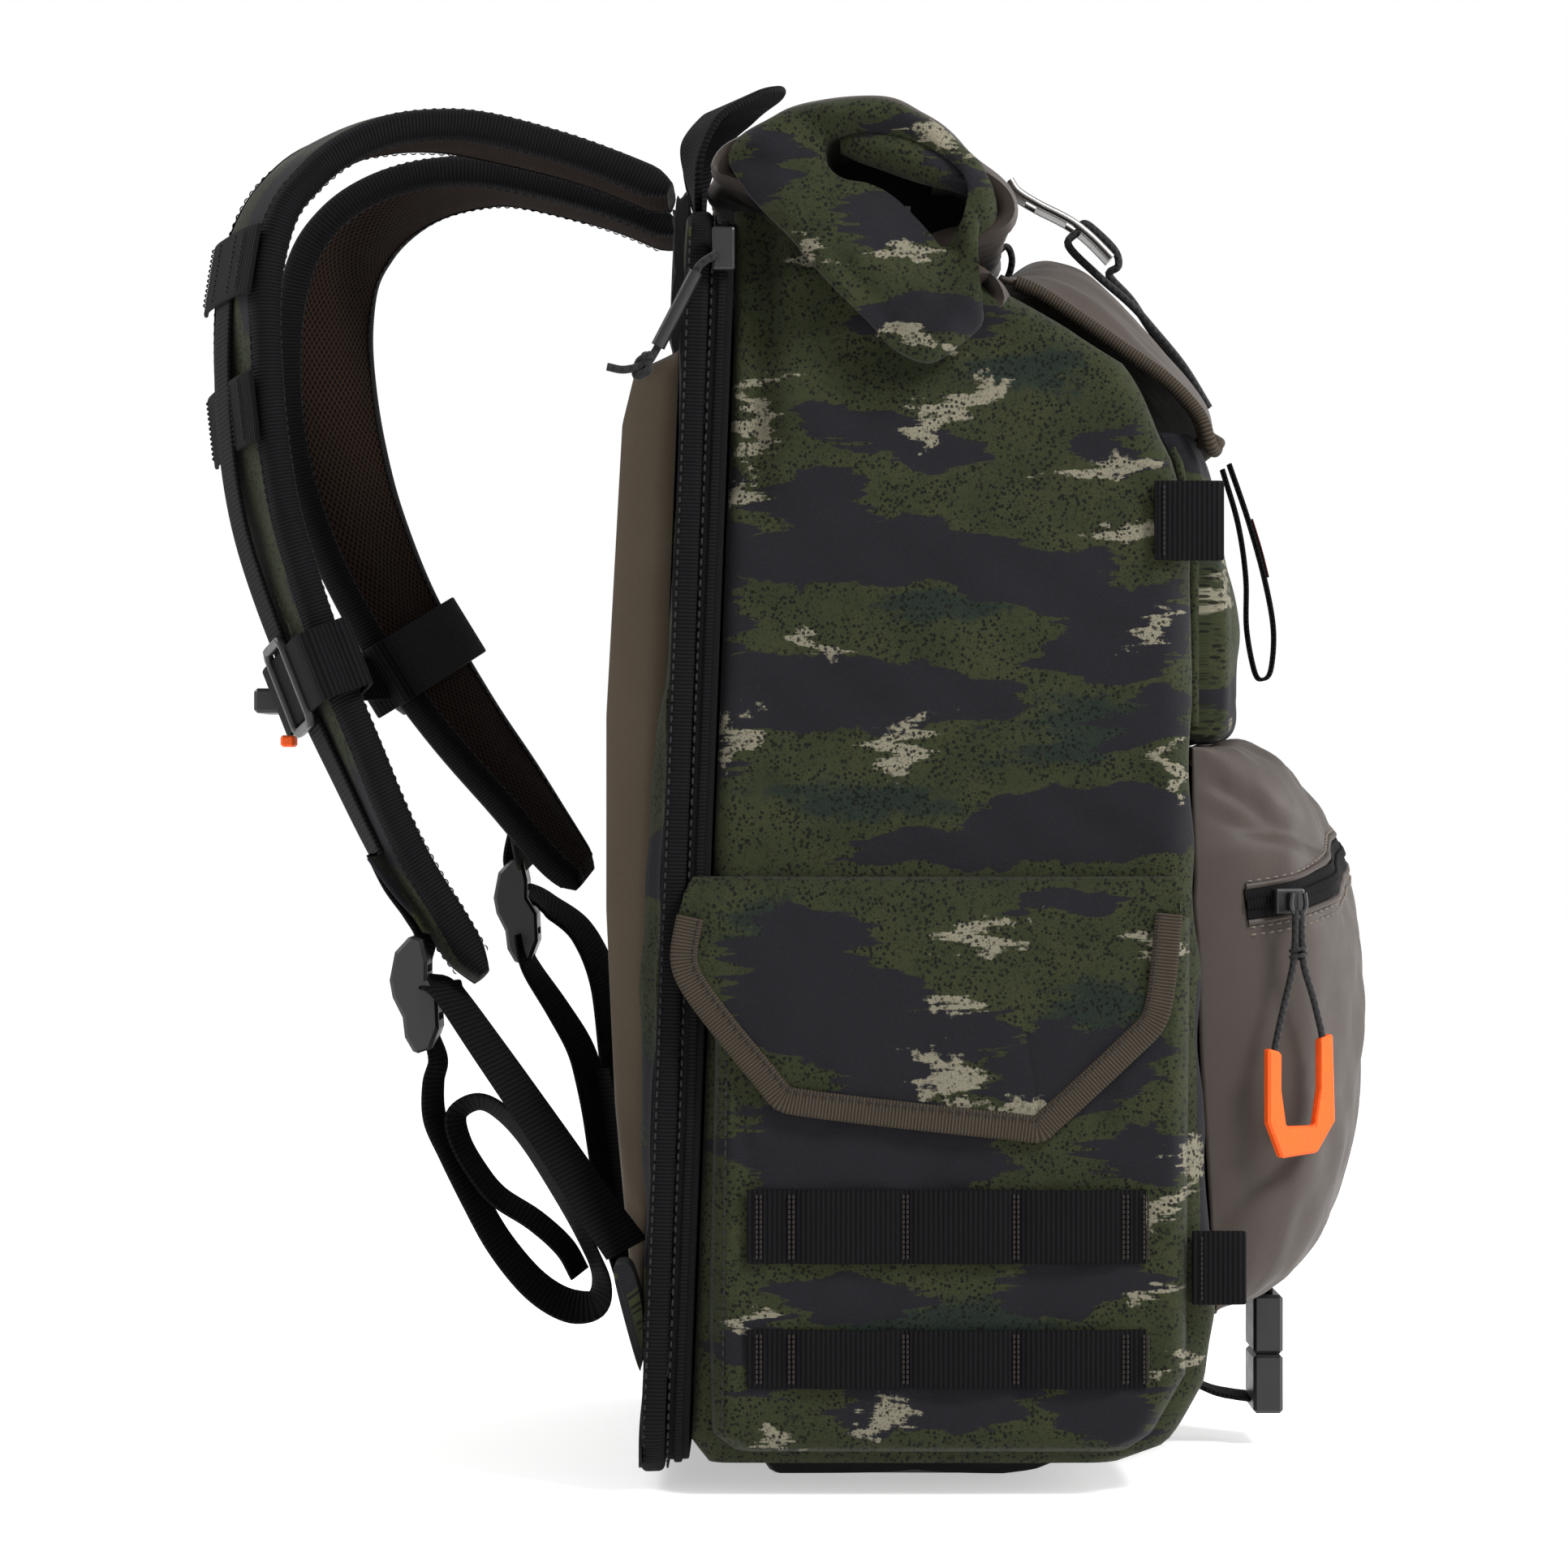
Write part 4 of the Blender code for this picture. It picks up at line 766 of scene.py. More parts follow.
def build_main_bag():
    """The bag's skin, ring by ring, with its belly, its pinched top corners and its print's own UVs."""
    heights = np.concatenate([np.linspace(10, 40, 12), np.linspace(42, 372, 96), np.linspace(375, 446, 30)])
    rows, uv = [], []
    for z in heights:
        low, high, half = between(z, BAG_BACK), between(z, BAG_FRONT), between(z, BAG_SIDE)
        front_radius = 12 + 8 * np.clip((z - 380) / 38, 0, 1)
        loop = rectangle(low, high, half, 12 if z > 345 else 7, front_radius)
        ring = np.column_stack([loop, np.full(len(loop), z)])
        way = unit(loop - [(low + high) / 2, 0])
        side = ramp(np.abs(loop[:, 1]), half - 14, 14)
        swell = 1.6 * ripple(ring, 62, 3) + 0.7 * ripple(ring * [1, 1, 2.2], 30, 4)
        swell += 2.2 * math.sin(math.pi * ramp(z, 215, 150)) - 3.5 * ramp(z, 372, 20)
        hollow = -9.0 * ridge(loop[:, 0], low + 9, 6.5) * ramp(z, 335, 30)
        free = ramp(z, 216, 12) + 0.3 * (z < 40)
        ring[:, 1] += np.sign(way[:, 1]) * side * free * (swell + hollow)
        ends = 1.2 * ripple(ring, 45, 5) * (1 - side) * ramp(z, 12, 12)
        ring[:, 0] += np.sign(way[:, 0]) * ends * (loop[:, 0] > high - 2)
        rows.append(ring)
        closed = np.concatenate([loop, loop[:1]])
        at = lengths(closed)
        to_front = (high - low) / 2 + half - 0.43 * front_radius
        to_back = at[-1] / 2 - to_front
        u = np.where(at < to_front, at, 2 * to_front - at)
        u = np.where(at > at[-1] - to_back, at - at[-1], u) + loop[0, 0]
        uv.append(np.column_stack([u, np.full(len(u), z)]))
    mesh = surface(rows, array(uv), wrap=True, caps=True)
    piece("bag_body", mesh, CAMO_SIDE, "root", "main_bag", sharp=60)


# Outline of the rolled end: X, Z, how far out its hem starts, and how far out it swells.
ROLL_CENTRE = (30.0, 452.0)
ROLL_END = [
    (-19, 463, 130, 134), (-15, 470, 129, 134), (-6, 475.5, 128, 134), (3, 480, 128, 134),
    (14, 482, 128, 134), (26, 483.4, 128, 134), (37, 482.6, 128, 134), (46, 478.5, 128, 134),
    (55, 473.5, 128, 134), (62, 467, 128, 134), (68, 461.5, 128, 134), (72, 454.5, 128, 133),
    (74, 447, 128, 132), (73.5, 441, 128, 132), (68, 435.5, 127, 131), (60, 432.5, 127, 131),
    (57.3, 424, 128, 134), (58, 416.5, 130, 139), (63.5, 411, 134, 142), (69, 405, 139, 145),
    (60, 396, 142, 149), (51, 390.5, 143, 150), (42.5, 392.6, 143, 150), (36, 397, 143, 150),
    (30, 404, 143, 149.5), (17.5, 416.5, 142, 148), (9, 426, 141, 147), (2.5, 434, 139, 145),
    (-9, 446, 136, 141), (-15.5, 455, 132, 138),
]
ROLL_HOLLOW = [
    (14, 468.5), (19, 471), (30, 471.5), (42, 469), (54, 463.5), (63, 457), (68.5, 449), (68, 441),
    (61, 433.5), (55.5, 431), (51, 436), (46.5, 441), (38, 449), (30, 453.3), (20, 455.5), (14, 461),
]
ROLL_BODY = [
    (-26, 459), (-25.5, 464.5), (-21.5, 469), (-12, 474), (1, 480.5), (14, 483.3), (26, 484.4),
    (38, 483.8), (47, 480), (57, 474.5), (67, 466.5), (76, 458), (80.5, 450.5), (81, 443), (77, 438),
    (68, 434.3), (62, 430), (58.5, 424), (64, 418), (76, 420), (76, 408), (34, 408), (24, 422),
    (10, 436), (-3, 447), (-17, 455),
]
# The fold that hangs in the hollow, X, Z and radius, and the loose leaf of cloth behind it.
ROLL_LOBE = [
    (20, 468, 3.0), (26, 468, 5.6), (37, 466, 7.2), (49, 462, 7.4), (59, 457.5, 5.6), (66, 452, 2.6)
]
ROLL_LEAF = [(52.5, 455.5), (60, 455.5), (65.5, 452.5), (65, 445), (61.5, 438), (58, 431)]
HOLLOW_OUT = 136


def by_angle(points, centre, count):
    """A closed outline's points, evenly spaced, from the one that lies level with a centre on its left."""
    path = smooth(points, 8, closed=True)
    angles = np.arctan2(path[:, 1] - centre[1], path[:, 0] - centre[0])
    start = int(np.argmin(np.abs(np.abs(angles) - math.pi) + 5 * (path[:, 0] > centre[0])))
    path = np.concatenate([path[start:], path[: start + 1]])
    return even(path, count + 1)[:-1]


def build_roll_end(side):
    """The roll's folded end: a swelling ring of cloth round a deep hollow that holds a lobe and a leaf."""
    name = "near" if side < 0 else "far"
    count = 150
    outer = by_angle(ROLL_END, ROLL_CENTRE, count)
    inner = by_angle(ROLL_HOLLOW, ROLL_CENTRE, count)
    steps = np.linspace(0, 1, 18)
    rows = [np.column_stack([outer[:, 0], side * outer[:, 2], outer[:, 1]])]
    for t in steps:
        flat = outer[:, :2] * (1 - t) + inner * t
        swell = outer[:, 3] * (1 - t) + HOLLOW_OUT * t + 5.5 * np.sin(math.pi * t**0.75)
        dent = ridge(flat[:, 0] + 0.75 * (flat[:, 1] - 440), 8, 5) * ramp(-flat[:, 1], -446, 20)
        swell -= 4.0 * dent * math.sin(math.pi * t)
        here = np.column_stack([flat[:, 0], swell, flat[:, 1]])
        folds = 1.9 * ripple(here * [1, 0, 1], 27, 11) + 0.8 * ripple(here * [1, 0, 1], 13, 12)
        here[:, 1] = side * (swell + folds * math.sin(math.pi * min(1, t + 0.12)) ** 0.6)
        rows.append(here)
    middle = inner.mean(axis=0)
    for depth, shrink in ((1.5, 0.975), (5, 0.95), (14, 0.93), (34, 0.9), (60, 0.85)):
        flat = middle + (inner - middle) * shrink
        rows.append(np.column_stack([flat[:, 0], np.full(count, side * (HOLLOW_OUT - depth)), flat[:, 1]]))
    rows = array(rows)
    uv = np.concatenate([rows, rows[:, :1]], axis=1)[..., [0, 2]]
    mesh = surface(rows, uv, wrap=True)
    piece(f"roll_end_{name}", mesh, CAMO_SIDE, "root", "roll_top")
    # A black cloth disc closes the bottom of the hollow: painted shade deep inside the roll.
    hollow_shade_disc = surface(array([rows[-1] * 1.0, rows[-1] * 0 + rows[-1].mean(axis=0)]), wrap=True)
    piece(f"roll_depth_{name}", hollow_shade_disc, BLACK_CLOTH)
    lobe = smooth([(x, side * 126, z, radius) for x, z, radius in ROLL_LOBE], 6)
    spine = lobe[:, :3]
    across = np.broadcast_to((0, 1.0, 0), spine.shape)
    sections = circle(1, 26)[None] * lobe[:, 3][:, None, None] * [1.7, 1.0]
    mesh = sweep(spine, across, sections)
    camo_by_place(mesh)
    piece(f"roll_lobe_{name}", mesh, CAMO_SIDE, "root", "roll_top")
    leaf = smooth([(x, z) for x, z in ROLL_LEAF], 6)
    outs = np.linspace(90, 134.5, 10)
    rows = [[(x, side * y, z) for x, z in leaf] for y in outs]
    mesh = surface(rows)
    camo_by_place(mesh)
    piece(f"roll_leaf_{name}", mesh, CAMO_SIDE, "root", "roll_top", thickness=2.2, offset=0)


def camo_by_place(mesh):
    """Give a mesh UVs from where it is: X and Z in millimetres."""
    layer = mesh.uv_layers["cloth"].data
    for loop in mesh.loops:
        x, y, z = mesh.vertices[loop.vertex_index].co
        layer[loop.index].uv = (x / MM + 0.2 * (abs(y) / MM - 138), z / MM)


def build_roll_body():
    """The coated cloth wrapped round the roll between its two ends."""
    profile = by_angle(ROLL_BODY, ROLL_CENTRE, 130)
    rows = []
    for y in np.linspace(-131, 131, 70):
        here = np.column_stack([profile[:, 0], np.full(len(profile), y), profile[:, 1]])
        out = unit(profile - ROLL_CENTRE)
        near_end = ramp(abs(y), 118, 13) ** 2
        sag = 1.3 * ripple(here * [1, 0.5, 1], 38, 21) + 0.8 * ripple(here * [0.6, 1.6, 0.6], 22, 22)
        here[:, [0, 2]] += out * (sag - 2.6 * near_end - 1.0)[:, None]
        rows.append(here)
    for step in (3, 9):
        for place, row in ((0, rows[0]), (len(rows), rows[-1])):
            turned = row.copy()
            turned[:, [0, 2]] += unit(ROLL_CENTRE - turned[:, [0, 2]]) * step * 0.66
            turned[:, 1] *= 1 - 0.004 * step
            rows.insert(place, turned)
    mesh = surface(rows, wrap=True)
    piece(
        "roll_body", mesh, COATED, "root", "roll_top", thickness=1.5, offset=0, sharp=70
    )
    loop = [(77, -6, 441), (83, -7, 446), (85.5, -3, 441), (83, 2, 434), (76, 5, 434), (70, 6, 436)]
    loop = smooth(loop, 6)
    tube("roll_cord_loop", loop, 1.3, CORD)


# ---------------------------------------------------------------- back of the pack


def ring_path(half_width, low, high, radius):
    """A closed (y, z) rectangle with round corners, evenly spaced."""
    steps = 8
    loop = []
    corners = ((1, high, 0), (-1, high, 90), (-1, low, 180), (1, low, 270))
    for side, height, start in corners:
        middle = height - radius if height == high else height + radius
        for step in range(steps + 1):
            angle = math.radians(start + 90 * step / steps)
            y = side * (half_width - radius) + radius * math.cos(angle)
            loop.append((y, middle + radius * math.sin(angle)))
    return even([*loop, loop[0]], 420)[:-1]


def edge_ring(name, loop, depth, section, material, node=(), bumpiness=0.0):
    """A band round the whole edge of the back, its section's width lying front to back."""
    path = np.array([(back_x(depth, z), y, z) for y, z in loop])
    if bumpiness:
        path[:, 1] += bumpiness * ripple(path, 50, 31)
    across = np.broadcast_to((1.0, 0, BACK_LEAN), path.shape)
    return piece(name, sweep(path, across, section, closed=True), material, "root", node)


def build_back_edge():
    """The bound edge, the zip tape and the coil that go round the back, and the seams beside them."""
    loop = ring_path(139.0, 7.5, 443.5, 25)
    edge_ring("edge_band", loop, -4.4, rounded(8.4, 5.2, 2.3, 5), BLACK_BIND, "edge_binding", 0.35)
    tape = ring_path(138.3, 10, 441, 24)
    edge_ring("zip_ring", tape, 4.3, rounded(7.8, 1.8, 0.8), ZIP_CLOTH, "back_zip_tape")
    coil = ring_path(139.4, 9, 442, 24)
    edge_ring("zip_coil", coil, 4.3, rounded(3.0, 1.7, 0.8), BLACK_BIND)
    for out, depth in ((140.0, 0.7), (140.0, -7.4)):
        seam = ring_path(out + (1.4 if depth < 0 else -0.2), 6.5, 444.5, 26)
        path = np.array([(back_x(depth, z), y, z) for y, z in seam])
        outward = np.column_stack([np.zeros(len(path)), path[:, 1] / 140, (path[:, 2] - 225) / 218])
        outward[np.abs(path[:, 1]) > 138, 2] = 0
        stitch(path, outward, DARK_THREAD, spacing=3.6)


# Depth of the foam's face behind the back plane at each height, and the heights of its cross grooves.
FOAM_BACK = [
    (46, -11.6), (64.5, -13.6), (132.9, -22.5), (201.4, -28.2), (269.8, -30.8), (372.5, -29.1),
    (390, -25.5), (398, -20),
]
FOAM_GROOVES = (98, 167, 236, 305, 350)
FOAM_LOW, FOAM_HIGH = 46, 398
FOAM_HALF_WIDTH = 112
FOAM_FOOT = 9.8


def build_back_pad():
    """Moulded foam with a channel up its middle and grooves across it."""
    outs = np.linspace(-FOAM_HALF_WIDTH, FOAM_HALF_WIDTH, 110)
    y = np.abs(outs)
    channel = np.exp(-((y / 15) ** 4))
    rows = []
    for z in np.linspace(FOAM_LOW, FOAM_HIGH, 150):
        groove = sum(ridge(z + 0.12 * y, at, 4.2) for at in FOAM_GROOVES)
        edge = ramp(-y, -FOAM_HALF_WIDTH, 9) * ramp(z, FOAM_LOW, 9) * ramp(-z, -FOAM_HIGH, 9)
        thick = (-between(z, FOAM_BACK) - FOAM_FOOT) * (1 - (1 - edge) ** 2)
        inner = ramp(-y, -100, 16)
        lift = np.clip(thick - 8.5 * channel * edge - 5.0 * groove * (1 - channel) * inner, 0.4, None)
        rows.append(np.column_stack([back_x(-FOAM_FOOT - lift, z), outs, np.full(len(outs), z)]))
    pad = piece(
        "back_pad", surface(rows), FOAM, "root", "back_panel_foam",
        thickness=1.2, offset=0, sharp=28,
    )


def build_back_cloth():
    """The camouflage cloth behind the foam, which bellies out between the foam and the binding."""
    rows = []
    for z in np.linspace(9, 442, 96):
        belly = 6.2 * math.sin(math.pi * ramp(z, 77, 232))
        y = np.linspace(-136, 136, 92)
        fall = ramp(-np.abs(y), -133, 9) * ramp(np.abs(y), 102, 6)
        x = back_x(-8.4 - belly * fall - 0.6 * ripple(np.column_stack([y, y * 0 + z]), 40, 8), z)
        rows.append(np.column_stack([x, y, np.full(len(y), z)]))
    rows = array(rows)
    mesh = surface(rows, rows[..., [1, 2]])
    piece("back_cloth", mesh, CAMO, "root", "back_gusset", thickness=1.0, offset=0)


def slab(name, outline, half_width, material, node):
    """An outline in X and Z carried across the pack, its ends rounded over."""
    radius = 2.0
    path = even([*outline, outline[0]], 81)[:-1]
    middle = path.mean(axis=0)
    rows = []
    for y in np.linspace(-half_width, half_width, 60):
        inset = max(0, (abs(y) - half_width + radius) / radius) ** 2
        flat = path + unit(middle - path) * radius * 0.8 * inset
        rows.append(np.column_stack([flat[:, 0], np.full(len(flat), y), flat[:, 1]]))
    return piece(name, surface(rows, wrap=True, caps=True), material, "root", node)


def build_yoke():
    """The black cloth that the straps' tops are sewn under."""
    corners = ((-13.8, 402), (-9, 401), (-9, 451), (-12, 452), (-13.8, 449))
    outline = smooth([(back_x(depth, z), z) for depth, z in corners], 6, closed=True)
    slab("yoke", outline, 106, BLACK_CLOTH, "strap_yoke")
    for z in (404.5, 407, 445, 448):
        path = [(back_x(-14.1, z), y, z) for y in np.linspace(-104, 104, 60)]
        stitch(path, (-1, 0, 0), DARK_THREAD)


def build_haul_handle():
    """An arch of doubled webbing. Each point has its place and the direction across the webbing."""
    leg = array([
        (-30, 39, 446, 0, 12.7, 0), (-31.4, 39, 459, 0.5, 12.7, 0.2), (-32.6, 38, 472, 3, 11.8, 3),
        (-30, 33, 485.5, 7.5, 8.5, 5), (-20.5, 22, 495.5, 11.2, 3.5, 4.8), (-12, 8, 500.3, 12, 0.6, 4.4),
    ])
    other = leg[::-1] * [1, -1, 1, 1, -1, 1]
    both = smooth(np.concatenate([leg, other]), 8)
    place, across = both[:, :3], both[:, 3:]
    strip("handle", place, across, WEBBING_WIDTH, thick=2.8, body="haul_handle", replaces="haul_handle")


BACK_PULL = array((back_x(4.4, 430) - 1, -147.4, 428.0))


def build_back_pull():
    """The cord on the back zip's slider, with its shrink sleeve and its knot, from its swing's centre."""
    radius = PULL_CORD_DIAMETER / 2
    cord_route = [
        (-1, 0, 0), (-7, 0, -4), (-10, 0, -10), (-22, 0, -33), (-26, 0, -38), (-33, 0, -40), (-39, 0, -39),
    ]
    sleeve_route = [(-8.3, 0, -6.5), (-15, 0, -19.5), (-21.5, 0, -32)]
    knot_route = [(-24, -2.2, -35), (-28, 2, -37), (-29, 1, -42), (-24.5, -2, -40), (-26, 1.5, -34.5)]
    line = smooth(BACK_PULL + cord_route, 8)
    cord = tube("back_pull_cord", line, radius, CORD, "back_pull", "back_zip_pull")
    sleeve = smooth(BACK_PULL + sleeve_route, 5)
    cover = tube("back_pull_sleeve", sleeve, 2.5, PLASTIC, "back_pull", (), 14)
    knot = smooth(BACK_PULL + knot_route, 6)
    tie = tube("back_pull_knot", knot, radius, CORD, "back_pull", ())
    declare_cord(
        cord, line, PULL_CORD_DIAMETER, far_end="knot", stiffness="medium", lay="hanging",
        with_pieces=[cover, tie],
    )


# ---------------------------------------------------------------- front pockets

LOWER_OUTLINE = [
    (143.8, 252), (162, 258), (181, 252), (200, 231), (208, 209), (212, 180), (212.4, 144), (210.5, 120),
    (204, 96), (193, 78), (178, 67), (152, 61), (148, 60),
]
LOWER_BULGE = [(0, 1.0), (45, 0.96), (80, 0.84), (101, 0.62), (108, 0.44), (112, 0.26), (113.5, 0.0)]
LOWER_HALF_WIDTH = 113.5
# The creases at the lower pocket's corners: height, slope, width and depth.
LOWER_CREASES = (
    (247, 0.55, 4.0, 3.0), (236, 0.30, 3.5, 2.2), (228, -0.1, 5.0, 1.6), (90, -0.9, 5.0, 2.0)
)
UPPER_OUTLINE = [
    (143.8, 369), (150, 366), (158, 340), (165, 306), (165, 285), (163, 265), (150, 262), (143.8, 262),
]
UPPER_BULGE = [(0, 1.0), (60, 0.9), (94, 0.66), (100, 0.4), (101, 0.0)]
UPPER_HALF_WIDTH = 101


def bag_front(height):
    """X of the main bag's front at a height."""
    return between(height, BAG_FRONT)


def stations(half_width, count, crowd=0.6):
    """Y values crowding towards both edges."""
    t = np.linspace(-1, 1, count)
    return half_width * np.sign(t) * (1 - (1 - np.abs(t)) ** (1 / crowd))


def pocket_grid(outline, bulge, half_width, seed, creases=1.0):
    """A pocket's skin: its outline in X and Z carried across, flattening towards its sides by its bulge."""
    profile = even(smooth(outline, 8), 110)
    normal = unit(np.column_stack([-np.gradient(profile[:, 1]), np.gradient(profile[:, 0])]))
    soft = smooth([(y, b) for y, b in bulge], 6)
    rows = []
    for y in stations(half_width, 120):
        base = bag_front(profile[:, 1]) + 1.6
        part = between(abs(y), soft)
        x = base + (profile[:, 0] - base) * part
        here = np.column_stack([x, np.full(len(x), y), profile[:, 1]])
        fade = ramp(-abs(y), -half_width, 14) * np.clip(part * 1.4, 0, 1)
        folds = 1.5 * ripple(here * [0.4, 1, 1], 48, seed) + 0.6 * ripple(here * [1, 1.7, 0.8], 18, seed + 1)
        here[:, [0, 2]] -= normal * (creases * folds * fade)[:, None]
        rows.append(here)
    return array(rows)


ZIP_END_HEIGHT = 203
ZIP_ARCH = 20
ZIP_HALF_WIDTH = 112


def zip_height(y):
    """Height of the front zip, which arches across the lower pocket's top."""
    return ZIP_END_HEIGHT + ZIP_ARCH * (1 - (y / ZIP_HALF_WIDTH) ** 2)


def build_lower_pocket():
    """The coated pocket, drawn in along its zip and creased at its corners. Returns its grid of points."""
    grid = pocket_grid(LOWER_OUTLINE, LOWER_BULGE, LOWER_HALF_WIDTH, 41)
    grid[..., 0] -= 0.8 * ridge(grid[..., 2], zip_height(grid[..., 1]), 7)
    x, y, z = grid[..., 0], np.abs(grid[..., 1]), grid[..., 2]
    for at, slope, width, depth in LOWER_CREASES:
        line = ridge(z + slope * (x - 150), at, width)
        reach = ramp(y, 55, 30) * ramp(x, 146, 8)
        grid[..., 1] -= np.sign(grid[..., 1]) * depth * line * reach
        grid[..., 2] -= 0.5 * depth * line * reach
    piece(
        "lower_pocket", surface(grid), COATED, "root", "lower_front_pocket",
        thickness=1.4, offset=0,
    )
    return grid


def on_pocket(grid, y, z, lift=0.0):
    """The pocket's point at a given y and z, and its outward direction there."""
    first, last = 12, 100
    j = int(np.argmin(np.abs(grid[:, 0, 1] - y)))
    front = grid[j, first:last]
    k = int(np.argmin(np.abs(front[:, 2] - z)))
    a, b = front[max(0, k - 1)], front[min(len(front) - 1, k + 1)]
    rows = grid[:, first + k]
    c, d = rows[max(0, j - 1)], rows[min(len(rows) - 1, j + 1)]
    normal = unit(np.cross(b - a, d - c))
    if normal[0] < 0:
        normal = -normal
    share = (z - front[k][2]) / (b[2] - a[2]) if abs(b[2] - a[2]) > 1e-6 else 0
    return front[k] + (b - a) * share + normal * lift, normal


def zip_line(grid, offset, lift):
    """Points and outward directions along the front zip, offset from it in height."""
    along = np.linspace(-111.5, 111.5, 90)
    points, outs = zip(*[on_pocket(grid, y, zip_height(y) + offset, lift) for y in along])
    return array(points), array(outs)


def build_front_zip(grid):
    """The curved zip: tape, coil, the welts above and below, and the stitching beside them."""
    points, normals = zip_line(grid, 0, 1.2)
    points, normals = smooth_rows(points, 3), unit(smooth_rows(normals, 5))
    tangent = unit(np.gradient(points, axis=0))
    across = unit(np.cross(normals, tangent))
    strip("zip_tape_front", points, across, 11.0, ZIP_CLOTH, 1.2, "root", "front_zip_tape")
    strip("zip_coil_front", points + normals * 0.9, across, 3.4, BLACK_BIND, 1.5)
    for offset in (-8.0, -10.6, 8.2):
        seam, outs = zip_line(grid, offset, 0.7)
        stitch(smooth_rows(seam, 2), outs, TAUPE_THREAD)
    for name, offset in (("upper", 6.4), ("lower", -6.4)):
        line = smooth_rows(zip_line(grid, offset, 1.0)[0], 3)
        tube(f"zip_welt_{name}", line, 1.2, COATED, steps=8)


def smooth_rows(values, times):
    """Average each row with its neighbours, some number of times; the ends stay."""
    for _ in range(times):
        inner = (values[:-2] + 2 * values[1:-1] + values[2:]) / 4
        values = np.concatenate([values[:1], inner, values[-1:]])
    return values


def build_upper_pocket():
    """The plain pocket under the lid, with piping down both of its edges."""
    grid = pocket_grid(UPPER_OUTLINE, UPPER_BULGE, UPPER_HALF_WIDTH, 47, 0.8)
    mesh = surface(grid, grid[..., [1, 2]])
    piece(
        "upper_pocket", mesh, CAMO, "root", "upper_front_pocket", thickness=1.4, offset=0
    )
    for side in (-1, 1):
        edge = [(bag_front(z) + 3.2, side * 101.5, z) for z in np.linspace(266, 364, 40)]
        tube(f"upper_piping_{side + 1}", edge, 2.0, CAMO)


ZIP_DIRECTION = unit(array((21, 11, 0)))
ZIP_OUTWARD = unit(array((11, -21, 0)))
FRONT_SLIDER = array((176.0, -109.5, 204.5))
UP = array((0, 0, 1.0))


def build_front_pull():
    """The front zip's pull: a bail, two cords whipped together, and the orange grip on their ends."""
    pivot = FRONT_SLIDER + ZIP_OUTWARD * 9.2 - UP
    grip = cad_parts["front_pull_grip"]
    for name, way, drop, rise in (("back", -1, 36, 49), ("front", 1, 33, 45)):
        ends = [pivot - UP * 2 + ZIP_DIRECTION * way * 1.2, pivot - UP * 14 + ZIP_DIRECTION * way * 1.5]
        ends += [pivot - UP * 22 + ZIP_DIRECTION * way * 2.4, pivot + ZIP_DIRECTION * way * 6.2 - UP * drop]
        ends.append(pivot + ZIP_DIRECTION * way * 9.6 - UP * rise)
        ends.append(pivot + ZIP_DIRECTION * way * 10.4 - UP * (rise + 6))
        line = smooth(ends, 8)
        radius = CORD_DIAMETER / 2
        cord = tube(f"pull_cord_{name}", line, radius, CORD, "front_pull", "front_pull_cord")
        declare_cord(
            cord, line, CORD_DIAMETER, far_end="fitting", stiffness="medium", lay="hanging",
            with_pieces=[grip],
        )
    bail = [pivot + UP * 4 - ZIP_DIRECTION * 2.6, pivot - UP * 1 - ZIP_DIRECTION * 3, pivot - UP * 4.5]
    bail += [pivot - UP * 1 + ZIP_DIRECTION * 3, pivot + UP * 4 + ZIP_DIRECTION * 2.6]
    tube("pull_bail", smooth(bail, 5), 0.9, PLASTIC, "front_pull", ())
    turns = np.linspace(0, 12, 40)[:, None]
    tie = pivot + ZIP_DIRECTION * 3 * np.cos(turns) + ZIP_OUTWARD * 2 * np.sin(turns)
    tie = tie - UP * (15 + turns * 0.35)
    tube("pull_whipping", tie, 0.7, CORD, "front_pull", ())


def build_pull_loop():
    """The webbing loop below the lid, hanging from its fold."""
    down = [(162.5, 362), (168.3, 342), (171.2, 322), (171.5, 303), (174.5, 287)]
    back = [(177.5, 284.3), (180.5, 288), (181.4, 303), (178, 322), (172, 343.5), (165, 364)]
    path = smooth([(x, -20, z) for x, z in [*down, *back]], 8)
    strip("pocket_loop", path, (0, 1, 0), 9, thick=1.3, body="pocket_pull", replaces="pocket_pull_loop")
    tab = [(x + 1.2, -20, z) for x, z in [(172, 343.5), (175.5, 332), (178, 322)]]
    strip("pocket_loop_tack", smooth(tab, 5), (0, 1, 0), 8, RED_CLOTH, 0.7, "pocket_pull")


# ---------------------------------------------------------------- lid and closure

LID_EDGE = [(76.5, 424.5), (90, 419), (104, 410), (120, 399), (136, 387.6), (147, 375), (149, 366)]
LID_MIDDLE = [(77.5, 426.5), (92, 437), (106, 436.5), (121, 426), (137, 408), (154, 387), (158, 373)]
LID_HALF_WIDTH = 102
# Soft ridges running back from the lip: distance out, height, and how much they turn outward.
LID_RIDGES = ((86, 1.8, 0.4), (68, 2.2, -0.5), (50, 1.6, 0.8), (24, 1.2, -0.3))


def lid_point(t, y):
    """A point of the lid: t from 0 at the hinge to 1 at the lip."""
    crown = max(0.0, 1 - (y / LID_HALF_WIDTH) ** 2)
    edge, middle = LID_PATHS
    a = array([np.interp(t, np.linspace(0, 1, len(edge)), edge[:, k]) for k in (0, 1)])
    b = array([np.interp(t, np.linspace(0, 1, len(middle)), middle[:, k]) for k in (0, 1)])
    x, z = a + (b - a) * crown
    return np.array([x, y, z])


LID_PATHS = (even(smooth(LID_EDGE, 8), 80), even(smooth(LID_MIDDLE, 8), 80))


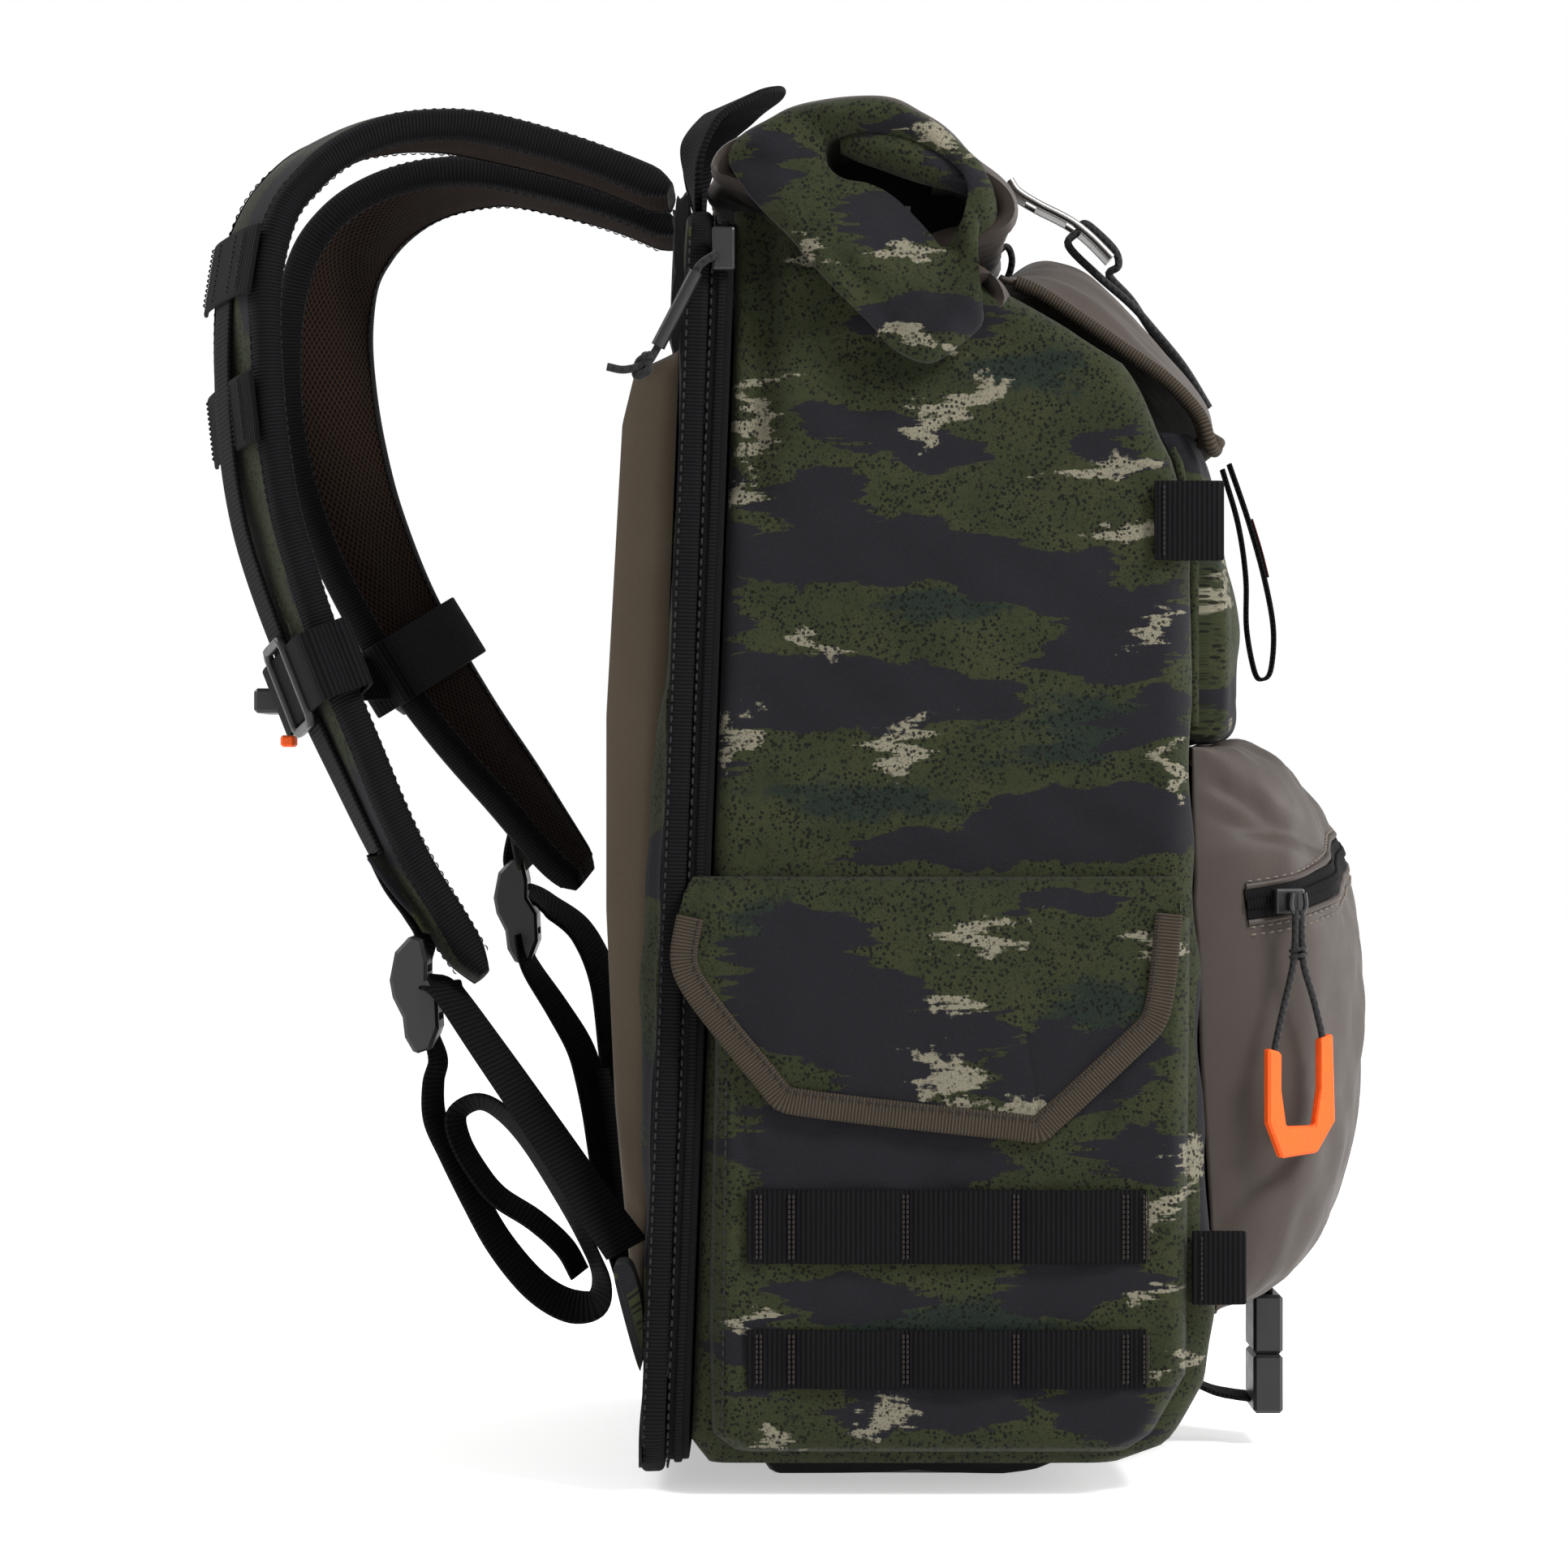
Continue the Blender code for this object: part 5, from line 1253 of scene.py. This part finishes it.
def build_lid():
    """The coated lid, crowned across its width, and the binding and stitches round its free edge."""
    rows = []
    t = np.linspace(0, 1, 70)
    for y in stations(LID_HALF_WIDTH, 110, 0.75):
        row = array([lid_point(part, y) for part in t])
        loose = np.sin(math.pi * np.clip(t * 1.15, 0, 1)) * ramp(-abs(y), -LID_HALF_WIDTH, 10)
        ridges = sum(size * ridge(abs(y), at + 16 * t * turn, 5.5) for at, size, turn in LID_RIDGES)
        soft = 1.1 * ripple(row, 55, 61) + 0.5 * ripple(row * [1, 2, 1], 20, 62)
        row[:, 2] += loose * (soft + ridges * (1 - t) * 1.2)
        rows.append(row)
    lid = piece("lid", surface(rows), COATED, "lid", "lid_flap", thickness=2.2, offset=0)
    sides = [lid_point(t, -101.6) for t in np.linspace(0.06, 0.9, 36)]
    lip = [lid_point(1, y) + [0.6, 0, -0.5] for y in np.linspace(-88, 0, 34)]
    corner = [(148.6, -102, 371), (150, -100.5, 366.3), (151.2, -96, 364.6)]
    half = array([*sides, *corner, *lip])
    path = smooth_rows(even(np.concatenate([half, (half * [1, -1, 1])[::-1][1:]]), 300), 3)
    tangent = unit(np.gradient(path, axis=0))
    middle = array((118, 0, 400))
    across = unit(middle - path + 1e-6)
    out = unit(np.cross(tangent, across))
    section = rounded(9.4, 4.6, 2.2, 5)
    band = piece("lid_band", sweep(path, across, section), TAUPE, "lid", "lid_binding")
    inner = path + across * 3.6
    up = np.where(out[:, 2:] > 0, out, -out)
    stitch(inner + up * 2.1, up, BROWN_THREAD, "lid", spacing=3.2, length=2.2)


HOOK_PATH = [
    (84.5, 470.5), (87.5, 466.3), (95, 461.6), (103, 457.6), (108.5, 454.4), (114, 450), (118.5, 445.6),
    (122.3, 441.6),
]


def build_closure():
    """The metal hook, as two rails joined by three bars, and the cord that loops through it from the lid."""
    spine = even(smooth(HOOK_PATH, 8), 80)
    path = np.column_stack([spine[:, 0], np.zeros(80), spine[:, 1]])
    at = lengths(path)
    for suffix, side in SIDES.items():
        strip(
            f"hook_rail_{suffix}", path + [0, side * 10.2, 0], (0, 1, 0), 4.6, METAL, 2.6,
            "closure", "closure_hook",
        )
    for name, start, end in (("root", 0, 10), ("middle", 14, 27), ("lip", 32.5, 60)):
        part = path[(at >= start) & (at <= end)]
        strip(f"hook_{name}", part, (0, 1, 0), 17.5, METAL, 2.55, "closure", ())
    along = unit(array((36.0, 0, -25)))
    up = array((-along[2], 0, along[0]))
    top = array((85.5, 0, 466.5))
    slot, bar, end = top + along * 28.5, top + along * 33, top + along * 43.8
    lying = array([(159, 386), (149.5, 401.5), (138.5, 415), (130, 424.5)])
    inner = [(x, -4, z) for x, z in lying] + [(117, -3.4, 436), slot - up * 4 + [0, -2, 0]]
    over = [slot + up * 2.6, slot + up * 6.2, bar + up * 6.6, end + up * 4.6, end + along * 4.4 + up * 0.6]
    outer = [end + along * 3.6 - up * 4 + [0, 2, 0], (130.5, 3.2, 427)]
    outer += [(x, 4, z) for x, z in lying[2::-1]]
    line = smooth([*inner, *over, *outer], 6)
    cord = tube("closure_loop", line, HOOK_CORD_DIAMETER / 2, CORD, "closure", "closure_cord")
    declare_cord(cord, line, HOOK_CORD_DIAMETER, far_end="object", stiffness="medium", lay="loose")


# ---------------------------------------------------------------- sides

FLAP_OUTLINE = [
    (-34, 208), (-37, 194.1), (-36.2, 177.4), (-5.6, 138.4), (2.8, 132.8), (83.6, 123.6), (90.5, 124.5),
    (123.9, 155.1), (132.3, 166.2), (137, 208),
]
MOLLE_STITCHES = [-8.4, 2.8, 42.0, 80.0, 117.6, 124.6]
MOLLE_ROWS = {"upper": (80.8, 106.2), "lower": (37.9, 58.2)}
SIDE_LOOPS = {"upper": (128.2, 151.5, 322.7, 350.2), "lower": (141.2, 159.4, 66.1, 91.3)}
BAG_SIDE_OUT = 138.4
FLAP_TOP = 213


def build_side_pocket(suffix, side):
    """The flat pocket on the bag's side, with a pleat near its rear edge."""
    across = np.linspace(0, 1, 90)
    rows = []
    for z in np.linspace(16, 200, 100):
        low = between(z, [(16, -16), (22, -24), (60, -25), (200, -22)])
        high = between(z, [(16, 118), (22, 127), (42, 138.5), (200, 140)])
        x = low + (high - low) * across
        edge = ramp(np.minimum(x - low, high - x), 0, 7) * ramp(z, 14, 8)
        rise = 8.4 * (1 - (1 - edge) ** 2)
        here = np.column_stack([x, x * 0, x * 0 + z])
        folds = 0.7 * ripple(here, 40, 71) + 0.35 * ripple(here, 16, 72)
        pleat = 1.6 * ridge(x + 0.12 * (z - 130), -14, 3.2) * ridge(z, 135, 24)
        out = BAG_SIDE_OUT + rise + np.minimum(folds, 0.15) * edge - pleat
        here[:, 1] = side * out
        rows.append(here)
    rows = array(rows)
    mesh = surface(rows, rows[..., [0, 2]])
    piece(
        f"pocket_{suffix}", mesh, CAMO_SIDE, "root", "side_pocket_" + suffix,
        thickness=1.2, offset=0,
    )
    seam = [(between(z, [(22, -21), (200, -19)]), side * 146.4, z) for z in np.linspace(24, 196, 60)]
    stitch(seam, (0, side, 0), DARK_THREAD)


def build_flap(suffix, side):
    """The side pocket's flap, hanging from its sewn top, and the binding round its hem."""
    body = "flap_" + suffix
    hem = even(smooth(FLAP_OUTLINE, 5), 120)
    top = np.linspace((-31, FLAP_TOP), (136, FLAP_TOP), 120)
    rows = []
    for t in np.linspace(0, 1, 60):
        flat = top + (hem - top) * t
        drop = FLAP_TOP - flat[:, 1]
        out = 139.2 + 9.6 * np.clip(drop / 10, 0, 1) ** 0.5
        here = np.column_stack([flat[:, 0], out, flat[:, 1]])
        wave = 0.5 * ripple(here * [1, 0, 1], 34, 81) + 0.25 * ripple(here * [1, 0, 1], 14, 82)
        here[:, 1] = side * (out + wave * np.clip(drop / 20, 0, 1))
        rows.append(here)
    rows = array(rows)
    mesh = surface(rows, rows[..., [0, 2]])
    flap = piece(
        f"flap_cloth_{suffix}", mesh, CAMO_SIDE, body, "side_flap_" + suffix,
        thickness=1.4, offset=0,
    )
    middle = array((50, 170))
    line = smooth_rows(hem, 8)[3:-3]
    inward = unit(np.column_stack([-np.gradient(line[:, 1]), np.gradient(line[:, 0])]))
    inward *= np.sign((inward * (middle - line)).sum(1))[:, None]
    inward = unit(smooth_rows(inward, 12))
    spine = line + inward * 3.9
    path = np.insert(spine, 1, side * 150.0, axis=1)
    across = np.insert(inward, 1, 0, axis=1)
    band = strip(
        f"flap_band_{suffix}", path, across, 9.4, TAUPE, 2.6, body, "flap_binding_" + suffix
    )
    seam = np.insert(line + inward * 7.2, 1, side * 151.3, axis=1)
    stitch(seam, (0, side, 0), BROWN_THREAD, body, 3.1, 2.2)


def sew_tack(foot, way, reach, count, out, material, **thread):
    """A short row of stitches through a foot, reaching as far both ways."""
    row = array(foot) + array(way) * np.linspace(-reach, reach, count)[:, None]
    stitch(row, out, material, **thread)


def build_molle(suffix, side):
    """Two rows of webbing, sewn down at columns and standing a little off the pocket between them."""
    for level, (low, high) in MOLLE_ROWS.items():
        ends = [(MOLLE_STITCHES[0] - 4, 0.0), (MOLLE_STITCHES[0], 0.0)]
        for start, end in zip(MOLLE_STITCHES, MOLLE_STITCHES[1:]):
            if end - start > 20:
                rises = ((0.15, 1.5), (0.5, 2.1), (0.85, 1.5))
                ends += [(start + (end - start) * part, bulge) for part, bulge in rises]
            ends.append((end, 0.0))
        middle = (low + high) / 2
        path = smooth([(x, side * (148.0 + bulge), middle) for x, bulge in ends], 6)
        node = f"molle_{level}_{suffix}"
        strip(f"molle_band_{level}_{suffix}", path, (0, 0, 1), high - low, replaces=node)
        for x in MOLLE_STITCHES:
            for shift in (-0.7, 0.7):
                sew_tack(
                    (x + shift, side * 149.0, middle), UP, (high - low) / 2 - 1.5, 12, (0, side, 0),
                    BROWN_THREAD, spacing=1.7, length=1.5, radius=0.42,
                )


def build_side_loops(suffix, side):
    """Folded webbing loops at the bag's front seam."""
    near, far = 139.4, 142.6
    for level, (back, front, low, high) in SIDE_LOOPS.items():
        middle = (low + high) / 2
        fold = [
            (back, near), (front - 3, near), (front - 0.4, (near + far) / 2), (front - 3, far), (back, far)
        ]
        path = smooth([(x, side * y, middle) for x, y in fold], 7)
        node = f"side_loop_{level}_{suffix}"
        strip(f"side_tab_{level}_{suffix}", path, (0, 0, 1), high - low, replaces=node)
        sew_tack(
            (back + 3, side * (far + 1.0), middle), UP, (high - low) / 2 - 1.5, 12, (0, side, 0),
            DARK_THREAD, spacing=1.7, length=1.5,
        )


# ---------------------------------------------------------------- shoulder straps

STRAP_PATHS = {
    "left": [
        (-40.5, 457), (-60, 465.5), (-80, 472.5), (-106, 479), (-124, 481), (-142, 479.5), (-159, 474),
        (-174, 464), (-185, 450), (-191, 428), (-192, 404), (-190, 376), (-185, 345), (-177, 317),
        (-165, 284), (-152, 254), (-137, 223), (-119, 195), (-107, 177),
    ],
    "right": [
        (-40.5, 457), (-60, 465.5), (-80, 472), (-104, 477.5), (-121, 478.5), (-138, 476), (-153, 469.5),
        (-166, 459), (-175, 445), (-179, 425), (-179, 402), (-176, 377), (-168.5, 349), (-157, 321),
        (-143, 296), (-126, 270), (-107, 245), (-88, 219), (-78, 208),
    ],
}
# At each of those points: distance out from the middle, half width, and turn of the outer face in degrees.
STRAP_OUT = [62, 62, 62, 63, 64, 66, 68, 70, 73, 76, 78, 80, 82, 84, 86, 88, 90, 92, 93]
STRAP_HALF_WIDTHS = [30, 31, 32, 33, 33, 33, 33, 33, 33, 32.5, 32, 32, 31.5, 31, 30, 28, 25, 21, 15]
STRAP_TILTS = {
    "left": [0, 0, 0, 0, 2, 5, 10, 15, 18, 20, 21, 21, 20, 20, 19, 18, 16, 14, 13],
    "right": [0, 0, 0, 0, 3, 7, 12, 17, 21, 25, 28, 30, 30, 28, 26, 24, 22, 19, 16],
}


class Strap:
    """A shoulder strap's centreline, with its directions and half width at each point."""

    def __init__(self, suffix, per_span=7):
        side = SIDES[suffix]
        stops = zip(STRAP_PATHS[suffix], STRAP_OUT, STRAP_HALF_WIDTHS, STRAP_TILTS[suffix])
        points = smooth([(x, side * out, z, half, tilt) for (x, z), out, half, tilt in stops], per_span)
        self.per_span = per_span
        self.path, self.half = points[:, :3], points[:, 3]
        self.tangent = unit(np.gradient(self.path, axis=0))
        flat = np.broadcast_to((0.0, side, 0), self.path.shape)
        across = unit(flat - self.tangent * (flat * self.tangent).sum(1, keepdims=True))
        outward = np.cross(across, self.tangent) * side
        tilt = np.radians(points[:, 4])[:, None]
        self.across = across * np.cos(tilt) - outward * np.sin(tilt)
        self.outward = outward * np.cos(tilt) + across * np.sin(tilt)

    def at(self, index):
        """Place, directions and half width at a given point of the path, or between two."""
        k = min(int(index * self.per_span), len(self.path) - 1)
        return self.path[k], self.tangent[k], self.outward[k], self.across[k], self.half[k]


STRAPS = {suffix: Strap(suffix) for suffix in SIDES}
STRAP_FACE = 5.2


def strap_section(half):
    """Points round a strap, with the material of each span: 0 camo face, 1 edge binding, 2 mesh face."""
    band = 7.5
    outer = [(t * (half - band), STRAP_FACE + 1.8 * (1 - t * t)) for t in np.linspace(1, -1, 15)]
    rim = [(band, STRAP_FACE + 0.5), (5, STRAP_FACE + 0.1), (2, 4.3), (0.3, 2.6)]
    rim += [(0, 0), (0.3, -2.6), (2, -4.4), (5, -5.3), (band, -5.6)]
    edge = [(inset - half, out) for inset, out in rim]
    inner = [(t * (half - band), -STRAP_FACE - 0.9 * (1 - t * t)) for t in np.linspace(-1, 1, 15)]
    other = [(-u, v) for u, v in reversed(edge)]
    loop = [*outer, *edge, *inner, *other]
    kinds = [0] * 14 + [1] * 10 + [2] * 14 + [1] * 10
    return loop, kinds


def build_strap(suffix):
    """A padded strap in one closed skin: camouflage outside, mesh inside and binding along both edges."""
    strap = STRAPS[suffix]
    rows, uv = [], []
    along = lengths(strap.path)
    for k, (centre, half) in enumerate(zip(strap.path, strap.half)):
        end = min(1, (k + 0.6) / 3, (len(strap.path) - 0.4 - k) / 4)
        loop, kinds = strap_section(half)
        loop = array(loop) * [1, end**0.5]
        ring = centre + strap.across[k] * loop[:, :1] + strap.outward[k] * loop[:, 1:]
        face = 0.35 * ripple(ring, 30, 91) * np.minimum(1, (half - np.abs(loop[:, 0])) / 8)
        rows.append(ring + strap.outward[k] * face[:, None])
        closed = np.concatenate([loop, loop[:1]])
        uv.append(np.column_stack([np.full(len(closed), along[k]), lengths(closed)]))
    paint = np.array(kinds)[None]
    mesh = surface(rows, array(uv), wrap=True, caps=True, paint=paint)
    node = "shoulder_strap_" + suffix
    pad = piece(f"strap_{suffix}", mesh, [CAMO, BLACK_BIND, MESH], "root", node, sharp=60)
    for edge in (-1, 1):
        for face in (-1, 1):
            inset = strap.half - 6.6
            height = STRAP_FACE + 0.35 if face > 0 else -STRAP_FACE - 0.5
            seam = strap.path + strap.across * (edge * inset)[:, None] + strap.outward * height
            stitch(seam[2:-2], strap.outward[2:-2] * face, DARK_THREAD, radius=0.26, lift=-0.12)


def build_strap_webbing(suffix):
    """The webbing down a strap's outer face, and two cross bands tacked over it."""
    strap = STRAPS[suffix]
    span = slice(int(8.6 * strap.per_span), 16 * strap.per_span + 1)
    loose = np.sin(np.linspace(0, math.pi, len(strap.path[span]))) ** 2
    path = strap.path[span] + strap.outward[span] * (STRAP_FACE + 2.6 + 3.0 * loose)[:, None]
    across = strap.across[span]
    strip(f"strap_band_{suffix}", path, across, STRAP_WEBBING_WIDTH, replaces="strap_webbing_" + suffix)
    for number, index in enumerate((9.1, 11.0)):
        centre, tangent, outward, across, half = strap.at(index)
        reach = half - 1.5
        line = [(t * reach, STRAP_FACE + 3.9 - 2.4 * t**4) for t in np.linspace(-1, 1, 25)]
        rows = array([centre + across * u + outward * v for u, v in line])
        strip(f"daisy_{number}_{suffix}", rows, tangent, WEBBING_WIDTH)
        for place in (-0.72, -0.34, 0.34, 0.72):
            foot = centre + across * place * reach + outward * (STRAP_FACE + 4.4)
            sew_tack(foot, tangent, 11, 9, outward, DARK_THREAD, spacing=1.8, length=1.6)


# X, Z and distance out.
LOCK_PATHS = {
    "left": [(-143.5, 221, 90), (-138, 210, 91.5), (-131, 200, 93), (-126.8, 191.5, 95), (-128, 183, 96)],
    "right": [(-103.5, 228, 90), (-106, 217, 92), (-105, 210, 94), (-103.5, 205, 96)],
}
TAB_PATHS = {
    "left": [(-140, 221, 89.5), (-133, 209, 91), (-127, 200, 93), (-123.5, 192.5, 95)],
    "right": [(-100, 229, 89.5), (-100.5, 220, 91), (-100.5, 213, 93)],
}


def build_lock_webbing(suffix):
    """The strap's webbing running off its end into the ladder lock, and the fabric tab that backs it."""
    side = SIDES[suffix]
    for name, given, widths, material, thick in (
        ("lock_band", LOCK_PATHS[suffix], (20, 20), BLACK_WEB, WEBBING),
        ("lock_tab", TAB_PATHS[suffix], (36, 21), CAMO, 1.8),
    ):
        path = smooth([(x, side * y, z) for x, z, y in given], 7)
        across = leaning(path, np.linspace(20, 14, len(path)))
        width = np.linspace(*widths, len(path))
        strip(f"{name}_{suffix}", path, across, width, material, thick)


LOWER_PATHS = {
    "left": [
        (-127.5, 178), (-123, 175.5), (-117.5, 171.5), (-104, 153), (-82, 122), (-66, 99), (-54.5, 83.5),
    ],
    "right": [
        (-103, 203), (-98, 201), (-92, 197), (-80, 187), (-71.5, 168), (-67.5, 140), (-64.5, 115), (-60, 96),
        (-54.5, 83.5),
    ],
}
TAIL_PATHS = {
    "left": [
        (-126, 163), (-124.5, 156), (-122.3, 147.6), (-124, 139.5), (-123.5, 127.3), (-118, 115.2),
        (-110, 99.5), (-100.3, 82.6), (-88, 68), (-76, 60.8), (-66.3, 61.5), (-64.5, 70.5), (-70, 84),
        (-78.5, 99.7), (-90.6, 119), (-100.4, 129.7), (-108.5, 133), (-115.8, 128.5), (-114.6, 119.5),
        (-108.8, 109), (-101, 99.5), (-88, 91), (-77.5, 81.5), (-72, 72),
    ],
    "right": [
        (-103, 187), (-101, 179), (-97.5, 171.5), (-88, 157), (-79, 141), (-74, 122), (-70.5, 100),
        (-67, 80), (-63, 62), (-58.5, 50), (-55.5, 51), (-58, 64), (-62, 80), (-65.5, 98), (-68.5, 118),
        (-71.5, 134),
    ],
}
TAIL_OUT = {"left": 95.5, "right": 83.0}
# How far the tail's face is turned to the side, in degrees, at shares of its length.
TAIL_LEAN = {
    "left": ((0, 0.1, 0.25, 0.4, 0.5, 0.65, 0.8, 1), (6, 18, 24, 34, 18, 22, 18, 18)),
    "right": ((0, 0.3, 0.7, 1), (10, 35, 35, 25)),
}


def build_lower_webbing(suffix, side):
    """The webbing from the ladder lock down to its anchor, and the loose tail that hangs from the lock."""
    given = LOWER_PATHS[suffix]
    last = len(given) - 1
    path = smooth([(x, side * (97 + 27 * k / last), z) for k, (x, z) in enumerate(given)], 8)
    across = leaning(path, np.linspace(14, 46, len(path)))
    strip(f"lower_band_{suffix}", path, across, STRAP_WEBBING_WIDTH, replaces="lower_webbing_" + suffix)
    line = smooth([(x, side * TAIL_OUT[suffix], z) for x, z in TAIL_PATHS[suffix]], 7)
    across = leaning(line, np.interp(np.linspace(0, 1, len(line)), *TAIL_LEAN[suffix]))
    tail = strip(f"tail_{suffix}", line, across, TAIL_WIDTH, thick=1.3, replaces="tail_webbing_" + suffix)
    declare_cord(tail, line, TAIL_WIDTH, far_end="bare", stiffness="stiff", lay="hanging")


def build_anchor(suffix, side):
    """The folded cloth tab at the bag's lower corner that holds the webbing."""
    outline = [(-48.8, 46), (-48.8, 64), (-52.5, 78), (-56.5, 79.5), (-58.5, 75), (-50.5, 45)]
    path = even(smooth(outline, 5, closed=True), 40)
    rows = [[(x, side * out, z) for x, z in path] for out in np.linspace(113.5, 138, 16)]
    around = lengths(np.concatenate([path, path[:1]]))
    uv = np.stack(np.meshgrid(np.linspace(0, 24, 16), around, indexing="ij"), axis=-1)
    mesh = surface(rows, uv, wrap=True, caps=True)
    piece(f"anchor_{suffix}", mesh, CAMO, "root", "anchor_tab_" + suffix)


# ---------------------------------------------------------------- sternum strap and bottom strap


KEEPER_STOP = 14


def build_keeper(suffix):
    """Webbing looped round a strap, with a ladder slider on it. Returns where the next band joins."""
    centre, along, outward, across, half = STRAPS[suffix].at(KEEPER_STOP)
    inner, outer, wide = 7.6, 10.2, half + 3.6
    corners = [
        (-wide, -inner), (0, -inner - 0.6), (wide, -inner), (wide + 1.6, 0),
        (wide, outer), (0, outer + 0.6), (-wide, outer), (-wide - 1.6, 0),
    ]
    loop = even(smooth(corners, 6, closed=True), 120)
    path = centre + across * loop[:, :1] + outward * loop[:, 1:]
    mesh = sweep(path, along, rounded(WEBBING_WIDTH, WEBBING, 0.7), closed=True)
    piece(f"keeper_{suffix}", mesh, BLACK_WEB, "sternum", "sternum_keeper_" + suffix)
    frame_out = outer + 1.8
    box = [(-13, -15.5), (13, -15.5), (13, 15.5), (-13, 15.5)]
    around = []
    for (a, b), (c, d) in zip(box, box[1:] + box[:1]):
        around += [(a + (c - a) * t, b + (d - b) * t) for t in np.linspace(0.08, 0.92, 10)]
    ring = array([centre + across * u + along * v + outward * frame_out for u, v in around])
    mesh = sweep(ring, outward, rounded(3.4, 3.4, 1.2), closed=True)
    piece(f"keeper_slider_{suffix}", mesh, PLASTIC, "sternum", ())
    return centre - across * (wide + 1)


def build_sternum():
    """The strap across the chest: two keepers, and the webbing from the right one to the buckle."""
    build_keeper("left")
    edge = build_keeper("right")
    tail = array((-181, -0.2, 276.0))
    route = array([tail, tail + [2, 14, 2.5], tail + [10, 33, 9], edge])
    across = array([(0, 0, 9), (0, 0, 9), (-2.5, 0, 8.6), (-4.7, 0, 7.7)])
    both = smooth(np.concatenate([route, across], axis=1), 8)
    place, across = both[:, :3], both[:, 3:]
    strip("sternum_band", place, across, 18, body="sternum", replaces="sternum_webbing")


def build_bottom_strap():
    """The webbing above and below the bottom buckle."""
    upper = [(150, 57.2), (163, 58.3), (174, 59.6), (179.4, 59.8), (181.2, 57.6), (181, 55)]
    lower = [(149, 24.3), (160, 19.2), (168, 17.4), (174, 16.6)]
    for name, route, body in (("upper", upper, "root"), ("lower", lower, "bottom_plug")):
        path = smooth([(x, 0, z) for x, z in route], 6)
        node = "bottom_strap_" + name
        strip("bottom_band_" + name, path, (0, 1, 0), WEBBING_WIDTH, body=body, replaces=node)


def build_bottom_pad():
    """The black pad that the pack stands on."""
    outline = [(-6, 9.6), (-6.5, 4), (-4, 0.4), (80, 0.2), (90, 1.6), (101, 6), (101, 9.6)]
    slab("pad_bottom", outline, 90, BLACK_CLOTH, "bottom_pad")


# ---------------------------------------------------------------- assembly

build_back_pull()
build_front_pull()
build_closure()
for suffix, side in SIDES.items():
    build_lower_webbing(suffix, side)
    build_anchor(suffix, side)

build_main_bag()
build_roll_body()
for side in SIDES.values():
    build_roll_end(side)
build_back_edge()
build_back_pad()
build_back_cloth()
build_yoke()
build_haul_handle()
pocket = build_lower_pocket()
build_front_zip(pocket)
build_upper_pocket()
build_pull_loop()
build_lid()
for suffix, side in SIDES.items():
    build_side_pocket(suffix, side)
    build_flap(suffix, side)
    build_molle(suffix, side)
    build_side_loops(suffix, side)
    build_strap(suffix)
    build_strap_webbing(suffix)
    build_lock_webbing(suffix)
build_sternum()
build_bottom_strap()
build_bottom_pad()
sew()
